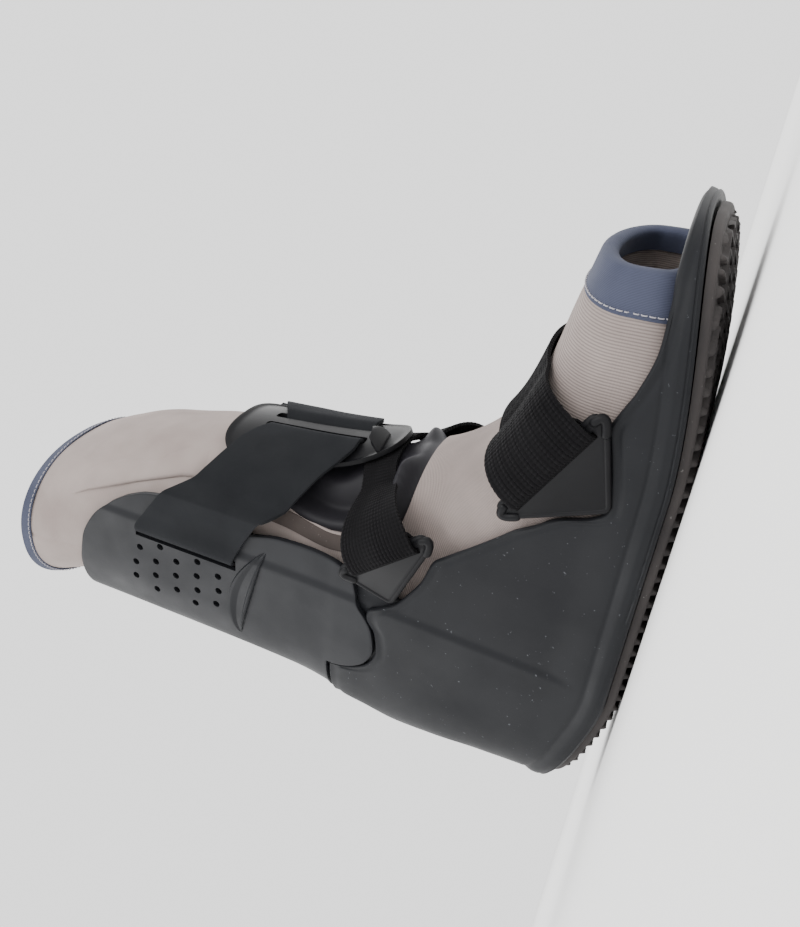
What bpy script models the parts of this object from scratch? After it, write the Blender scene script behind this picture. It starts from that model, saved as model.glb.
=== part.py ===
"""Fracture boot: a fixed-ankle walker with a rocker sole, a moulded shell, a calf cuff and a soft liner.

Metres. +X points to the toe, +Y to one side, +Z up. The origin is on the ground, under the foot's middle.
Its toe swings to +Y, as on a boot for the right foot; the rest is the same on both sides.
"""

import math
from collections import namedtuple

import bmesh
import bpy
from mathutils import Vector
from mathutils.bvhtree import BVHTree

# Lengths along the foot, from the origin
HEEL_LENGTH = 0.178
TOE_LENGTH = 0.1235
HEEL_ARC_START = 0.125
TOE_ARC_START = 0.055
FLAT_BACK = 0.090
FLAT_FRONT = 0.020
# Extra stations between the heel arc and the flat, so that the rocker stays round
HEEL_STATIONS = (0.113, 0.101, 0.091)

# How far the toe swings to the inner side of a right foot, from where on, and how round the toe is
TOE_SWING = 0.0085
SWING_START = 0.040
SWING_POWER = 1.4
TOE_SQUARE = 2.85
BASE_SQUARE = 2.3

# Widths and heights
SHELL_WIDTH = 0.124
BALL_WIDTH = 0.111
COLLAR_HEIGHT = 0.366
# How far the liner's collar stands above the cuff
COLLAR_REACH = 0.048
CUFF_TOP = COLLAR_HEIGHT - COLLAR_REACH
# Top of the shell's tongue inside the cuff, as a share of CUFF_TOP
SHELL_BACK_HIGH = 0.600

# Rocker: rise at the two ends of the sole, and how fast it grows
TOE_RISE = 0.0163
TOE_RISE_POWER = 1.6
HEEL_RISE = 0.0261
HEEL_RISE_POWER = 1.4

# Thicknesses and clearances
GAP = 0.0003
SOLE_THICKNESS = 0.0062
SOLE_INSET = 0.0035
TREAD_BORDER = 0.0045
TREAD_DEPTH = 0.0024
FIELD_BEVEL = 0.0008
SOLE_CHAMFER = 0.0012
SOLE_CHAMFER_RISE = 0.0014
SHELL_WALL = 0.003
RIM_FLARE = 0.0010
RIM_HEIGHT = 0.0055
BAND_HEIGHT = 0.010
FLOOR_FILLET = 0.002
INNER_BAND = 0.005
CUFF_WALL = 0.003
# Heights from which the recess, the cuff, its inside and its rib are lofted, all below the cuff's lower edge
RECESS_FOOT = 0.080
CUFF_FOOT = 0.110
CUFF_INSIDE_FOOT = 0.100
RIB_FOOT = 0.120
STRUT_RAISE = 0.0012
STRUT_FRONT = 0.083
STRUT_BLEND = 0.004
LINER_WALL = 0.006
LINER_CLEARANCE = 0.0006
INSOLE_THICKNESS = 0.004
INSOLE_FRONT = 0.70
INSOLE_BACK = 0.74
TONGUE_THICKNESS = 0.005
TONGUE_WIDTH = 0.070
THROAT_WIDTH = 0.046

# Webbing, front plate and triangular loops
STRAP_THICKNESS = 0.002
STRAP_CLEARANCE = 0.0012
PLATE_THICKNESS = 0.0025
PLATE_CLEARANCE = 0.0010
OVER_PLATE = 0.0014
PLATE_WIDTH_ANGLE = 31.0
# How far the plate reaches below and above the middle of the strap that it holds
PLATE_BELOW = 0.049
PLATE_ABOVE = 0.050
PLATE_TRIM = 0.012
PLATE_TAPER = 0.064
PLATE_SLOT_WIDTH = 0.0125
PLATE_SLOT_ANGLE = 8.0
SLOT_EASE = 0.003
SLOT_CUT_DEPTH = 0.040
SLOT_CUT_REACH = 0.075
TAB_ABOVE = 0.008
TAB_SINK = 0.001
TAB_WIDTH = 0.022
TAB_HEIGHT = 0.007
TAB_RAISE = 0.004
LOOP_THICKNESS = 0.003
LOOP_BAR = 0.004
LOOP_SLOT = 0.0035
LOOP_ROOM = 0.0010
LOOP_CORNER = 0.0025
SLEEVE_WALL = 0.0015
CUFF_SLOT_WIDTH = 0.0065
STRAP_MOUTH = 0.006
HOLE_RADIUS = 0.0021
RIB_RAISE = 0.0014
RIB_FRONT = -0.435
RIB_FRONT_Z = 0.597
RIB_BACK = -0.800
RIB_BACK_Z = 0.648
RIB_BULGE = 0.0145

FOOT_STRAP_WIDTH = 0.050
FOOT_STRAP_TAPER = 0.14
ANKLE_STRAP_WIDTH = 0.041
ANKLE_STRAP_TAPER = 0.44

SHAFT_AXIS_X = -0.095
ARC_STEPS = 6
# How far a cutter reaches past an open end, and from how far away a ray looks for the liner
PAST = 0.02
RAY_START = 0.3

SkinRow = namedtuple("SkinRow", "height back side square")
# Outer skin of shell and cuff. height is a share of CUFF_TOP, back of HEEL_LENGTH, side of half SHELL_WIDTH.
SKIN = [
    SkinRow(0.110, 0.998, 0.976, 2.5),
    SkinRow(0.190, 1.006, 0.962, 2.7),
    SkinRow(0.275, 1.028, 0.954, 2.8),
    SkinRow(0.350, 1.040, 0.948, 2.8),
    SkinRow(0.410, 1.026, 0.940, 2.8),
    SkinRow(0.464, 1.012, 0.936, 2.75),
    SkinRow(0.484, 0.984, 0.930, 2.7),
    SkinRow(0.560, 0.968, 0.926, 2.6),
    SkinRow(0.700, 0.964, 0.934, 2.6),
    SkinRow(0.860, 0.964, 0.950, 2.6),
    SkinRow(1.060, 0.968, 0.968, 2.6),
]

# Stations along the side between the two end arcs, as shares of HEEL_LENGTH (negative) and TOE_LENGTH.
OutlineRow = namedtuple("OutlineRow", "station half")
# half is a share of half SHELL_WIDTH
OUTLINE = [
    OutlineRow(-0.500, 1.000),
    OutlineRow(-0.365, 0.984),
    OutlineRow(-0.208, 0.960),
    OutlineRow(0.000, 0.935),
    OutlineRow(0.160, 0.917),
    OutlineRow(0.300, 0.906),
]

EdgePoint = namedtuple("EdgePoint", "along height")
# Upper edge of the shell's side wall, from toe to shaft. along: share of TOE_LENGTH, or of HEEL_LENGTH where
# negative. height: share of CUFF_TOP.
SHELL_EDGE = [
    EdgePoint(1.130, 0.092),
    EdgePoint(0.939, 0.089),
    EdgePoint(0.840, 0.087),
    EdgePoint(0.769, 0.083),
    EdgePoint(0.648, 0.081),
    EdgePoint(0.500, 0.092),
    EdgePoint(0.397, 0.108),
    EdgePoint(0.358, 0.113),
    EdgePoint(0.263, 0.104),
    EdgePoint(0.142, 0.093),
    EdgePoint(0.067, 0.090),
    EdgePoint(0.017, 0.108),
    EdgePoint(-0.020, 0.150),
    EdgePoint(-0.060, 0.178),
    EdgePoint(-0.092, 0.204),
    EdgePoint(-0.118, 0.219),
    EdgePoint(-0.171, 0.251),
    EdgePoint(-0.242, 0.297),
    EdgePoint(-0.264, 0.310),
    EdgePoint(-0.343, 0.325),
    EdgePoint(-0.410, 0.347),
    EdgePoint(-0.456, 0.366),
    EdgePoint(-0.477, 0.393),
    EdgePoint(-0.486, 0.426),
    EdgePoint(-0.486, 0.590),
    EdgePoint(-1.200, 0.590),
]

# Outline of the cuff from the side, in the same shares, clockwise from the lowest front corner.
CUFF_OUTLINE = [
    EdgePoint(-0.455, 0.430),
    EdgePoint(-0.404, 0.440),
    EdgePoint(-0.380, 0.470),
    EdgePoint(-0.371, 0.520),
    EdgePoint(-0.376, 0.575),
    EdgePoint(-0.400, 0.640),
    EdgePoint(-0.378, 0.700),
    EdgePoint(-0.366, 0.790),
    EdgePoint(-0.380, 0.840),
    EdgePoint(-0.430, 0.900),
    EdgePoint(-0.530, 0.958),
    EdgePoint(-0.640, 0.990),
    EdgePoint(-0.750, 1.000),
    EdgePoint(-1.200, 1.000),
    EdgePoint(-1.200, 0.474),
    EdgePoint(-0.758, 0.474),
    EdgePoint(-0.756, 0.455),
    EdgePoint(-0.733, 0.423),
    EdgePoint(-0.697, 0.401),
    EdgePoint(-0.643, 0.390),
    EdgePoint(-0.576, 0.396),
    EdgePoint(-0.525, 0.412),
    EdgePoint(-0.500, 0.434),
]

LinerRow = namedtuple("LinerRow", "top_x top_z low_x low_z half square low_square")
# Liner sections from toe to collar. x: share of TOE_LENGTH or, where negative, HEEL_LENGTH. z: share of
# COLLAR_HEIGHT, or 0 where the section stands on the shell's floor. half: share of half SHELL_WIDTH.
# square and low_square say how square the section is above and below its middle.
LINER = [
    LinerRow(0.794, 0.168, 0.810, 0.000, 0.625, 2.1, 4.0),
    LinerRow(0.688, 0.176, 0.696, 0.000, 0.730, 2.1, 4.5),
    LinerRow(0.445, 0.194, 0.445, 0.000, 0.805, 2.1, 5.0),
    LinerRow(0.219, 0.218, 0.146, 0.000, 0.825, 2.1, 5.0),
    LinerRow(0.032, 0.256, -0.253, 0.000, 0.822, 2.2, 5.0),
    LinerRow(-0.079, 0.317, -0.730, 0.000, 0.806, 2.3, 4.0),
    LinerRow(-0.140, 0.380, -0.899, 0.148, 0.800, 2.3, 3.0),
    LinerRow(-0.174, 0.445, -0.961, 0.246, 0.800, 2.2, 2.6),
    LinerRow(-0.197, 0.514, -0.960, 0.361, 0.798, 2.2, 2.4),
    LinerRow(-0.213, 0.574, -0.906, 0.459, 0.800, 2.2, 2.3),
    LinerRow(-0.236, 0.656, -0.899, 0.590, 0.832, 2.2, 2.3),
    LinerRow(-0.287, 0.765, -0.902, 0.735, 0.862, 2.2, 2.3),
    LinerRow(-0.360, 0.874, -0.910, 0.869, 0.910, 2.2, 2.3),
    LinerRow(-0.444, 0.956, -0.985, 0.951, 0.955, 2.2, 2.2),
    LinerRow(-0.489, 1.000, -1.025, 0.989, 0.968, 2.2, 2.2),
]

ThroatPoint = namedtuple("ThroatPoint", "along height")
# Side outlines that cut the throat out of the liner and leave the tongue, from the foot's front upwards.
# along: share of HEEL_LENGTH; height: share of COLLAR_HEIGHT.
THROAT = [
    ThroatPoint(0.560, 0.310),
    ThroatPoint(0.560, 0.720),
    ThroatPoint(-0.478, 0.720),
    ThroatPoint(-0.478, 0.400),
]
TONGUE = [
    ThroatPoint(0.560, 0.270),
    ThroatPoint(0.560, 0.760),
    ThroatPoint(-0.422, 0.760),
    ThroatPoint(-0.337, 0.360),
]

StrapRow = namedtuple("StrapRow", "angle middle half lift")
# Calf strap round the shaft, from the front to the slot in the cuff. angle in degrees from the front; middle
# and half height as shares of COLLAR_HEIGHT; lift: 0 behind the front plate, 1 over it.
CALF_STRAP = [
    StrapRow(0.0, 0.507, 0.061, 0.0),
    StrapRow(4.0, 0.509, 0.061, 0.0),
    StrapRow(12.0, 0.520, 0.083, 1.0),
    StrapRow(19.5, 0.527, 0.085, 1.0),
    StrapRow(30.0, 0.553, 0.080, 1.0),
    StrapRow(42.0, 0.572, 0.079, 1.0),
    StrapRow(49.0, 0.585, 0.079, 1.0),
]
CUFF_STRAP_LOW = 0.573
CUFF_STRAP_HIGH = 0.745
CUFF_SLOT_X = 0.525
CUFF_STRAP_FRONT = 0.360

LoopPlace = namedtuple("LoopPlace", "rear_x rear_z front_x front_z tip_x tip_z side")
# Bar ends and tip of each triangular loop: x in shares of TOE_LENGTH or HEEL_LENGTH, z of COLLAR_HEIGHT,
# side: outward distance as a share of half SHELL_WIDTH.
FOOT_LOOP = LoopPlace(-0.035, 0.201, 0.409, 0.113, 0.077, 0.0751, 0.905)
ANKLE_LOOP = LoopPlace(-0.388, 0.400, -0.183, 0.284, -0.444, 0.3197, 0.912)

HoleRow = namedtuple("HoleRow", "top_x top_z count")
# Slanted rows of vent holes in the cuff: x of the top hole as a share of HEEL_LENGTH behind the origin, its
# height as a share of CUFF_TOP, and how many holes follow downwards.
HOLES = [
    HoleRow(0.589, 0.856, 2),
    HoleRow(0.656, 0.868, 4),
    HoleRow(0.715, 0.871, 5),
    HoleRow(0.742, 0.826, 4),
    HoleRow(0.738, 0.742, 2),
]
HOLE_STEP_X = 0.0055
HOLE_STEP_Z = 0.0143


def along(share):
    """Distance along the foot for a share of TOE_LENGTH, or of HEEL_LENGTH where the share is negative."""
    return share * (TOE_LENGTH if share > 0.0 else HEEL_LENGTH)


def blend(value, low, high):
    """0 below low, 1 above high, a straight ramp between."""
    return min(1.0, max(0.0, (value - low) / (high - low)))


def table_value(rows, key, name, value):
    """Column name of a table at the given key value, in straight steps between the rows."""
    if value <= getattr(rows[0], key):
        return getattr(rows[0], name)
    for low, high in zip(rows, rows[1:]):
        start, stop = getattr(low, key), getattr(high, key)
        if value <= stop:
            share = (value - start) / (stop - start)
            return getattr(low, name) * (1.0 - share) + getattr(high, name) * share
    return getattr(rows[-1], name)


def rocker(x):
    """Height of the tread above the ground: level between two flat ends, then rising to toe and heel."""
    if x > FLAT_FRONT:
        return TOE_RISE * ((x - FLAT_FRONT) / (TOE_LENGTH - FLAT_FRONT)) ** TOE_RISE_POWER
    if x < -FLAT_BACK:
        return HEEL_RISE * ((-x - FLAT_BACK) / (HEEL_LENGTH - FLAT_BACK)) ** HEEL_RISE_POWER
    return 0.0


def swing(x):
    """Sideways shift of the foot's middle line: none up to the ball, then growing to the toe."""
    return TOE_SWING * blend(x, SWING_START, TOE_LENGTH) ** SWING_POWER


def half_outline(inset, height_share=0.0):
    """Points (x, half width) of the boot's plan from back to toe, moved inwards by inset."""
    row = {name: table_value(SKIN, "height", name, height_share) for name in ("back", "side", "square")}
    if height_share == 0.0:
        row = {"back": 1.0, "side": 1.0, "square": BASE_SQUARE}
    half = SHELL_WIDTH / 2.0 * row["side"]
    back = HEEL_LENGTH * row["back"]
    raise_share = blend(height_share, 0.06, 0.12)
    points = []
    reach = back - HEEL_ARC_START - inset
    for step in range(ARC_STEPS + 1):
        angle = math.pi / 2.0 * step / ARC_STEPS
        x = -HEEL_ARC_START - reach * math.cos(angle) ** (2.0 / row["square"])
        points.append((x, (half - inset) * math.sin(angle) ** (2.0 / row["square"])))
    strut = STRUT_RAISE * raise_share
    points[-1] = (-HEEL_ARC_START, half - inset)
    for x in HEEL_STATIONS:
        points.append((-x, half - inset))
    for x, share in ((-STRUT_FRONT - STRUT_BLEND, 0.0), (-STRUT_FRONT, 1.0)):
        points.append((x, half - inset - strut * share))
    for entry in OUTLINE:
        x = along(entry.station)
        if x > -STRUT_FRONT:
            points.append((x, half * entry.half - inset - strut))
    ball = BALL_WIDTH / 2.0 * row["side"]
    length = TOE_LENGTH - TOE_ARC_START - inset
    for step in range(ARC_STEPS + 1):
        angle = math.pi / 2.0 * (1.0 - step / ARC_STEPS)
        x = TOE_ARC_START + length * math.cos(angle) ** (2.0 / TOE_SQUARE)
        points.append((x, (ball - inset) * math.sin(angle) ** (2.0 / TOE_SQUARE)))
    points[0] = (points[0][0], 0.0)
    points[-1] = (points[-1][0], 0.0)
    return points


def closed_ring(points, height):
    """Ring of vertices: the near side from back to toe, then the far side back again, at height(x)."""
    near = [Vector((x, swing(x) - y, height(x))) for x, y in points]
    far = [Vector((x, swing(x) + y, height(x))) for x, y in reversed(points[1:-1])]
    return near + far


def loft(name, rings, cap_start=True, cap_end=True):
    """Closed body through rings of equal length. Each cap is made of strips from side to side."""
    mesh = bmesh.new()
    layers = [[mesh.verts.new(point) for point in ring] for ring in rings]
    count = len(rings[0])
    for low, high in zip(layers, layers[1:]):
        for index in range(count):
            following = (index + 1) % count
            mesh.faces.new((low[index], low[following], high[following], high[index]))
    for layer, wanted in ((layers[0], cap_start), (layers[-1], cap_end)):
        if wanted:
            half = count // 2
            for index in range(half):
                corners = [layer[index], layer[index + 1]]
                corners += [layer[(count - index - 1) % count], layer[(count - index) % count]]
                mesh.faces.new(list(dict.fromkeys(corners)))
    bmesh.ops.recalc_face_normals(mesh, faces=mesh.faces)
    return add_object(name, mesh)


def add_object(name, mesh):
    """Makes an object of a bmesh in the scene."""
    data = bpy.data.meshes.new(name)
    mesh.to_mesh(data)
    mesh.free()
    made = bpy.data.objects.new(name, data)
    bpy.context.scene.collection.objects.link(made)
    return made


def prism(name, outline, low_y, high_y):
    """Body with an outline of (x, z) points, from low_y to high_y."""
    mesh = bmesh.new()
    face = mesh.faces.new([mesh.verts.new((x, low_y, z)) for x, z in outline])
    grown = bmesh.ops.extrude_face_region(mesh, geom=[face])
    moved = [item for item in grown["geom"] if isinstance(item, bmesh.types.BMVert)]
    bmesh.ops.translate(mesh, verts=moved, vec=(0.0, high_y - low_y, 0.0))
    bmesh.ops.recalc_face_normals(mesh, faces=mesh.faces)
    return add_object(name, mesh)


def box(name, centre, size, axes):
    """Box of a size along three unit axes round a centre."""
    mesh = bmesh.new()
    bmesh.ops.create_cube(mesh, size=1.0)
    for vert in mesh.verts:
        shift = [vert.co[index] * size[index] for index in range(3)]
        vert.co = centre + axes[0] * shift[0] + axes[1] * shift[1] + axes[2] * shift[2]
    bmesh.ops.recalc_face_normals(mesh, faces=mesh.faces)
    return add_object(name, mesh)


def combine(target, tool, operation):
    """Applies a Boolean with the tool to the target and removes the tool."""
    step = target.modifiers.new(operation, "BOOLEAN")
    step.object = tool
    step.operation = operation
    step.solver = "EXACT"
    graph = bpy.context.evaluated_depsgraph_get()
    result = bpy.data.meshes.new_from_object(target.evaluated_get(graph))
    target.modifiers.clear()
    target.data = result
    bpy.data.objects.remove(tool)
    return target


def cut(target, tool):
    """Takes the tool's volume out of the target."""
    return combine(target, tool, "DIFFERENCE")


def keep(target, tool):
    """Leaves only what the target shares with the tool."""
    return combine(target, tool, "INTERSECT")


def join(target, tool):
    """Adds the tool's volume to the target."""
    return combine(target, tool, "UNION")


def skin_body(name, inset, low, high):
    """Solid inside the outer skin, moved inwards by inset, between two heights."""
    heights = [low] + [row.height * CUFF_TOP for row in SKIN if low < row.height * CUFF_TOP < high] + [high]
    rings = []
    for height in heights:
        rings.append(closed_ring(half_outline(inset, height / CUFF_TOP), lambda x, level=height: level))
    return loft(name, rings)


def shell_floor(x):
    """Height of the top of the shell's floor."""
    return rocker(x) + SOLE_THICKNESS + GAP + SHELL_WALL


def shell_inset(height):
    """Depth of the shell's inner face behind its skin: one wall low down, and room for the cuff above."""
    return SHELL_WALL + (CUFF_WALL + GAP) * blend(height, 0.30 * CUFF_TOP, 0.38 * CUFF_TOP)


def edge_points(rows, grow=0.0):
    """(x, z) points of a side outline, moved away from its middle by grow."""
    points = [(along(row.along), row.height * CUFF_TOP) for row in rows]
    if grow == 0.0:
        return points
    moved = []
    for index, (x, z) in enumerate(points):
        before, after = points[index - 1], points[(index + 1) % len(points)]
        first = Vector((x - before[0], z - before[1])).normalized()
        second = Vector((after[0] - x, after[1] - z)).normalized()
        normal = Vector((first.y + second.y, -first.x - second.x))
        normal *= grow / max(normal.length_squared / 2.0, 0.3)
        moved.append((x + normal.x, z + normal.y))
    return moved


def make_outsole():
    """Rubber outsole: outline and rocker of the foot, a raised tread field inside a bevelled border."""
    border = half_outline(SOLE_INSET)
    field = half_outline(SOLE_INSET + TREAD_BORDER)
    chamfer = half_outline(SOLE_INSET + SOLE_CHAMFER)
    rings = [
        closed_ring(field, rocker),
        closed_ring(half_outline(SOLE_INSET + TREAD_BORDER - FIELD_BEVEL), lambda x: rocker(x) + TREAD_DEPTH),
        closed_ring(chamfer, lambda x: rocker(x) + TREAD_DEPTH),
        closed_ring(border, lambda x: rocker(x) + TREAD_DEPTH + SOLE_CHAMFER_RISE),
        closed_ring(border, lambda x: rocker(x) + SOLE_THICKNESS),
    ]
    return loft("outsole", rings)


def make_shell():
    """Moulded foot shell: floor, side walls and heel cup, with a tongue that rises inside the cuff."""
    base = SOLE_THICKNESS + GAP
    top = SHELL_BACK_HIGH * CUFF_TOP
    heights = [row.height * CUFF_TOP for row in SKIN if row.height * CUFF_TOP < top] + [top]
    rings = [
        closed_ring(half_outline(0.0), lambda x: rocker(x) + base),
        closed_ring(half_outline(-RIM_FLARE), lambda x: rocker(x) + base + RIM_HEIGHT * 0.35),
        closed_ring(half_outline(-RIM_FLARE), lambda x: rocker(x) + base + RIM_HEIGHT),
    ]
    inner = [closed_ring(half_outline(SHELL_WALL + FLOOR_FILLET), shell_floor)]
    inner.append(closed_ring(half_outline(SHELL_WALL), lambda x: shell_floor(x) + FLOOR_FILLET))
    for height in heights:
        share = height / CUFF_TOP
        outer_edge, inner_edge = half_outline(0.0, share), half_outline(shell_inset(height), share)
        rings.append(closed_ring(outer_edge, lambda x, z=height: max(z, rocker(x) + base + BAND_HEIGHT)))
        inner.append(closed_ring(inner_edge, lambda x, z=height: max(z, shell_floor(x) + INNER_BAND)))
    inner.append(closed_ring(half_outline(shell_inset(top), top / CUFF_TOP), lambda x: top + PAST))
    shell = loft("shell", rings)
    cut(shell, loft("shell inside", inner))
    outline = edge_points(SHELL_EDGE) + [(-1.2 * HEEL_LENGTH, -0.02), (1.09 * TOE_LENGTH, -0.02)]
    keep(shell, prism("shell side", outline, -SHELL_WIDTH, SHELL_WIDTH))
    recess = prism("cuff recess", edge_points(CUFF_OUTLINE, GAP), -SHELL_WIDTH, SHELL_WIDTH)
    cut(recess, skin_body("recess floor", CUFF_WALL + GAP, RECESS_FOOT, CUFF_TOP * 1.05))
    cut(shell, recess)
    for place in (FOOT_LOOP, ANKLE_LOOP):
        cut(shell, loop_room(place))
    return shell


def crescent_outline():
    """(x, z) points of the finger rib on the wing: an arc over a straight chord."""
    points = []
    steps = 2 * ARC_STEPS
    for step in range(steps + 1):
        share = step / steps
        x = along(RIB_FRONT + (RIB_BACK - RIB_FRONT) * share)
        chord = (RIB_FRONT_Z + (RIB_BACK_Z - RIB_FRONT_Z) * share) * CUFF_TOP
        points.append((x, chord + RIB_BULGE * math.sin(math.pi * share) ** 0.8))
    return points


def make_cuff():
    """Calf cuff: back and two wings, with a slot and rows of vent holes in each wing and a crescent rib."""
    cuff = skin_body("cuff", 0.0, CUFF_FOOT, CUFF_TOP * 1.05)
    cut(cuff, skin_body("cuff inside", CUFF_WALL, CUFF_INSIDE_FOOT, CUFF_TOP * 1.06))
    keep(cuff, prism("cuff side", edge_points(CUFF_OUTLINE), -SHELL_WIDTH, SHELL_WIDTH))
    rib = skin_body("rib", -RIB_RAISE, RIB_FOOT, CUFF_TOP)
    cut(rib, skin_body("rib inside", CUFF_WALL / 2.0, CUFF_FOOT, CUFF_TOP * 1.06))
    keep(rib, prism("rib outline", crescent_outline(), -SHELL_WIDTH, SHELL_WIDTH))
    join(cuff, rib)
    middle = (CUFF_STRAP_LOW + CUFF_STRAP_HIGH) / 2.0 * COLLAR_HEIGHT
    height = (CUFF_STRAP_HIGH - CUFF_STRAP_LOW) * COLLAR_HEIGHT + SLOT_EASE
    axes = (Vector((1, 0, 0)), Vector((0, 1, 0)), Vector((0, 0, 1)))
    size = (CUFF_SLOT_WIDTH, SHELL_WIDTH * 1.2, height)
    cut(cuff, box("slot", Vector((-CUFF_SLOT_X * HEEL_LENGTH, 0, middle)), size, axes))
    cut(cuff, loop_room(ANKLE_LOOP))
    for row in HOLES:
        for index in range(row.count):
            hole_x = index * HOLE_STEP_X - row.top_x * HEEL_LENGTH
            hole_z = row.top_z * CUFF_TOP - index * HOLE_STEP_Z
            outline = []
            for corner in range(6):
                turn = math.pi * corner / 3.0
                reach = (HOLE_RADIUS * math.cos(turn), HOLE_RADIUS * math.sin(turn))
                outline.append((hole_x + reach[0], hole_z + reach[1]))
            cut(cuff, prism("hole", outline, -SHELL_WIDTH, SHELL_WIDTH))
    return cuff


def signed_power(value, power):
    """Power of a number's size that keeps its sign, and 0 for numbers that are only rounding."""
    return math.copysign(abs(value) ** power, value) if abs(value) > 1e-9 else 0.0


def liner_ring(row, inset):
    """Ring of the liner in the slanted plane through the row's top and low points."""
    low_x = along(row.low_x)
    low_z = row.low_z * COLLAR_HEIGHT if row.low_z else shell_floor(low_x) + LINER_CLEARANCE
    top = Vector((along(row.top_x), swing(along(row.top_x)), row.top_z * COLLAR_HEIGHT))
    low = Vector((low_x, swing(low_x), low_z))
    middle = (top + low) / 2.0
    long_half = (top - low).length / 2.0 - inset
    side = SHELL_WIDTH / 2.0 * row.half - inset
    direction = (top - low).normalized()
    ring = []
    steps = 4 * ARC_STEPS
    for index in range(steps):
        angle = 2.0 * math.pi * index / steps
        power = 2.0 / (row.low_square if math.cos(angle) > 0.0 else row.square)
        up, out = -signed_power(math.cos(angle), power), -signed_power(math.sin(angle), power)
        ring.append(middle + direction * (long_half * up) + Vector((0.0, side * out, 0.0)))
    return ring


def liner_body(name, inset, past=0.0):
    """Solid inside the liner's outer face moved inwards by inset, longer by past at its two open ends."""
    rings = [liner_ring(row, inset) for row in LINER]
    if past > 0.0:
        first = [point + Vector((past, 0.0, 0.0)) for point in rings[0]]
        last = [point + Vector((0.0, 0.0, past)) for point in rings[-1]]
        rings = [first] + rings + [last]
    return loft(name, rings)


def throat_points(rows):
    """(x, z) points of a throat table."""
    return [(row.along * HEEL_LENGTH, row.height * COLLAR_HEIGHT) for row in rows]


def make_liner():
    """Soft liner: hollow boot, open at the toe, up the throat and at the collar."""
    liner = liner_body("liner", 0.0)
    cut(liner, liner_body("liner inside", LINER_WALL, past=PAST))
    half = THROAT_WIDTH / 2.0
    cut(liner, prism("throat", throat_points(THROAT), -half, half))
    return liner


def make_tongue():
    """Padded tongue inside the throat, wider than its opening."""
    inset = LINER_WALL + GAP * 1.5
    tongue = liner_body("tongue", inset, past=PAST / 4.0)
    cut(tongue, liner_body("tongue inside", inset + TONGUE_THICKNESS, past=PAST))
    half = TONGUE_WIDTH / 2.0
    keep(tongue, prism("tongue outline", throat_points(TONGUE), -half, half))
    return tongue


def make_insole():
    """Flat footbed that fills the liner's lowest part."""
    front, back = INSOLE_FRONT * TOE_LENGTH, -INSOLE_BACK * HEEL_LENGTH
    plan = half_outline(SHELL_WALL, SKIN[0].height)
    top = LINER_CLEARANCE + LINER_WALL + INSOLE_THICKNESS
    slab = loft("slab", [closed_ring(plan, rocker), closed_ring(plan, lambda x: shell_floor(x) + top)])
    ends = [(back, -PAST), (front, -PAST), (front, COLLAR_HEIGHT), (back, COLLAR_HEIGHT)]
    keep(slab, prism("insole ends", ends, -SHELL_WIDTH, SHELL_WIDTH))
    return keep(liner_body("insole", LINER_WALL + GAP * 1.5), slab)


def outside(tree, z, angle):
    """Point on the liner's outer face at a height, in a direction given in degrees from the front."""
    turn = math.radians(angle)
    away = Vector((math.cos(turn), math.sin(turn), 0.0))
    start = Vector((SHAFT_AXIS_X, 0.0, z)) + away * RAY_START
    hit = tree.ray_cast(start, -away)[0]
    return hit, away


def band(name, sections):
    """Closed flat band through sections, each a list of inner points and a list of outer points."""
    mesh = bmesh.new()
    rows = [[mesh.verts.new(point) for point in inner + outer[::-1]] for inner, outer in sections]
    count = len(rows[0])
    for first, second in zip(rows, rows[1:]):
        for index in range(count):
            following = (index + 1) % count
            mesh.faces.new((first[index], first[following], second[following], second[index]))
    half = count // 2
    for row in (rows[0], rows[-1]):
        for index in range(half - 1):
            mesh.faces.new((row[index], row[index + 1], row[count - 2 - index], row[count - 1 - index]))
    bmesh.ops.recalc_face_normals(mesh, faces=mesh.faces)
    return add_object(name, mesh)


def shaft_section(tree, angle, low, high, inner, outer, steps=3):
    """Section of a band round the shaft: points from low to high at two distances off the liner."""
    inside, out = [], []
    for index in range(steps):
        z = low + (high - low) * index / (steps - 1)
        hit, away = outside(tree, z, angle)
        inside.append(hit + away * inner)
        out.append(hit + away * outer)
    return inside, out


def plate_inner():
    """Distance of the front plate off the liner: room for the strap behind it."""
    return STRAP_CLEARANCE + STRAP_THICKNESS + PLATE_CLEARANCE


def skin_side(z):
    """Half width of the outer skin at a height."""
    return SHELL_WIDTH / 2.0 * table_value(SKIN, "height", "side", z / CUFF_TOP)


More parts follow.
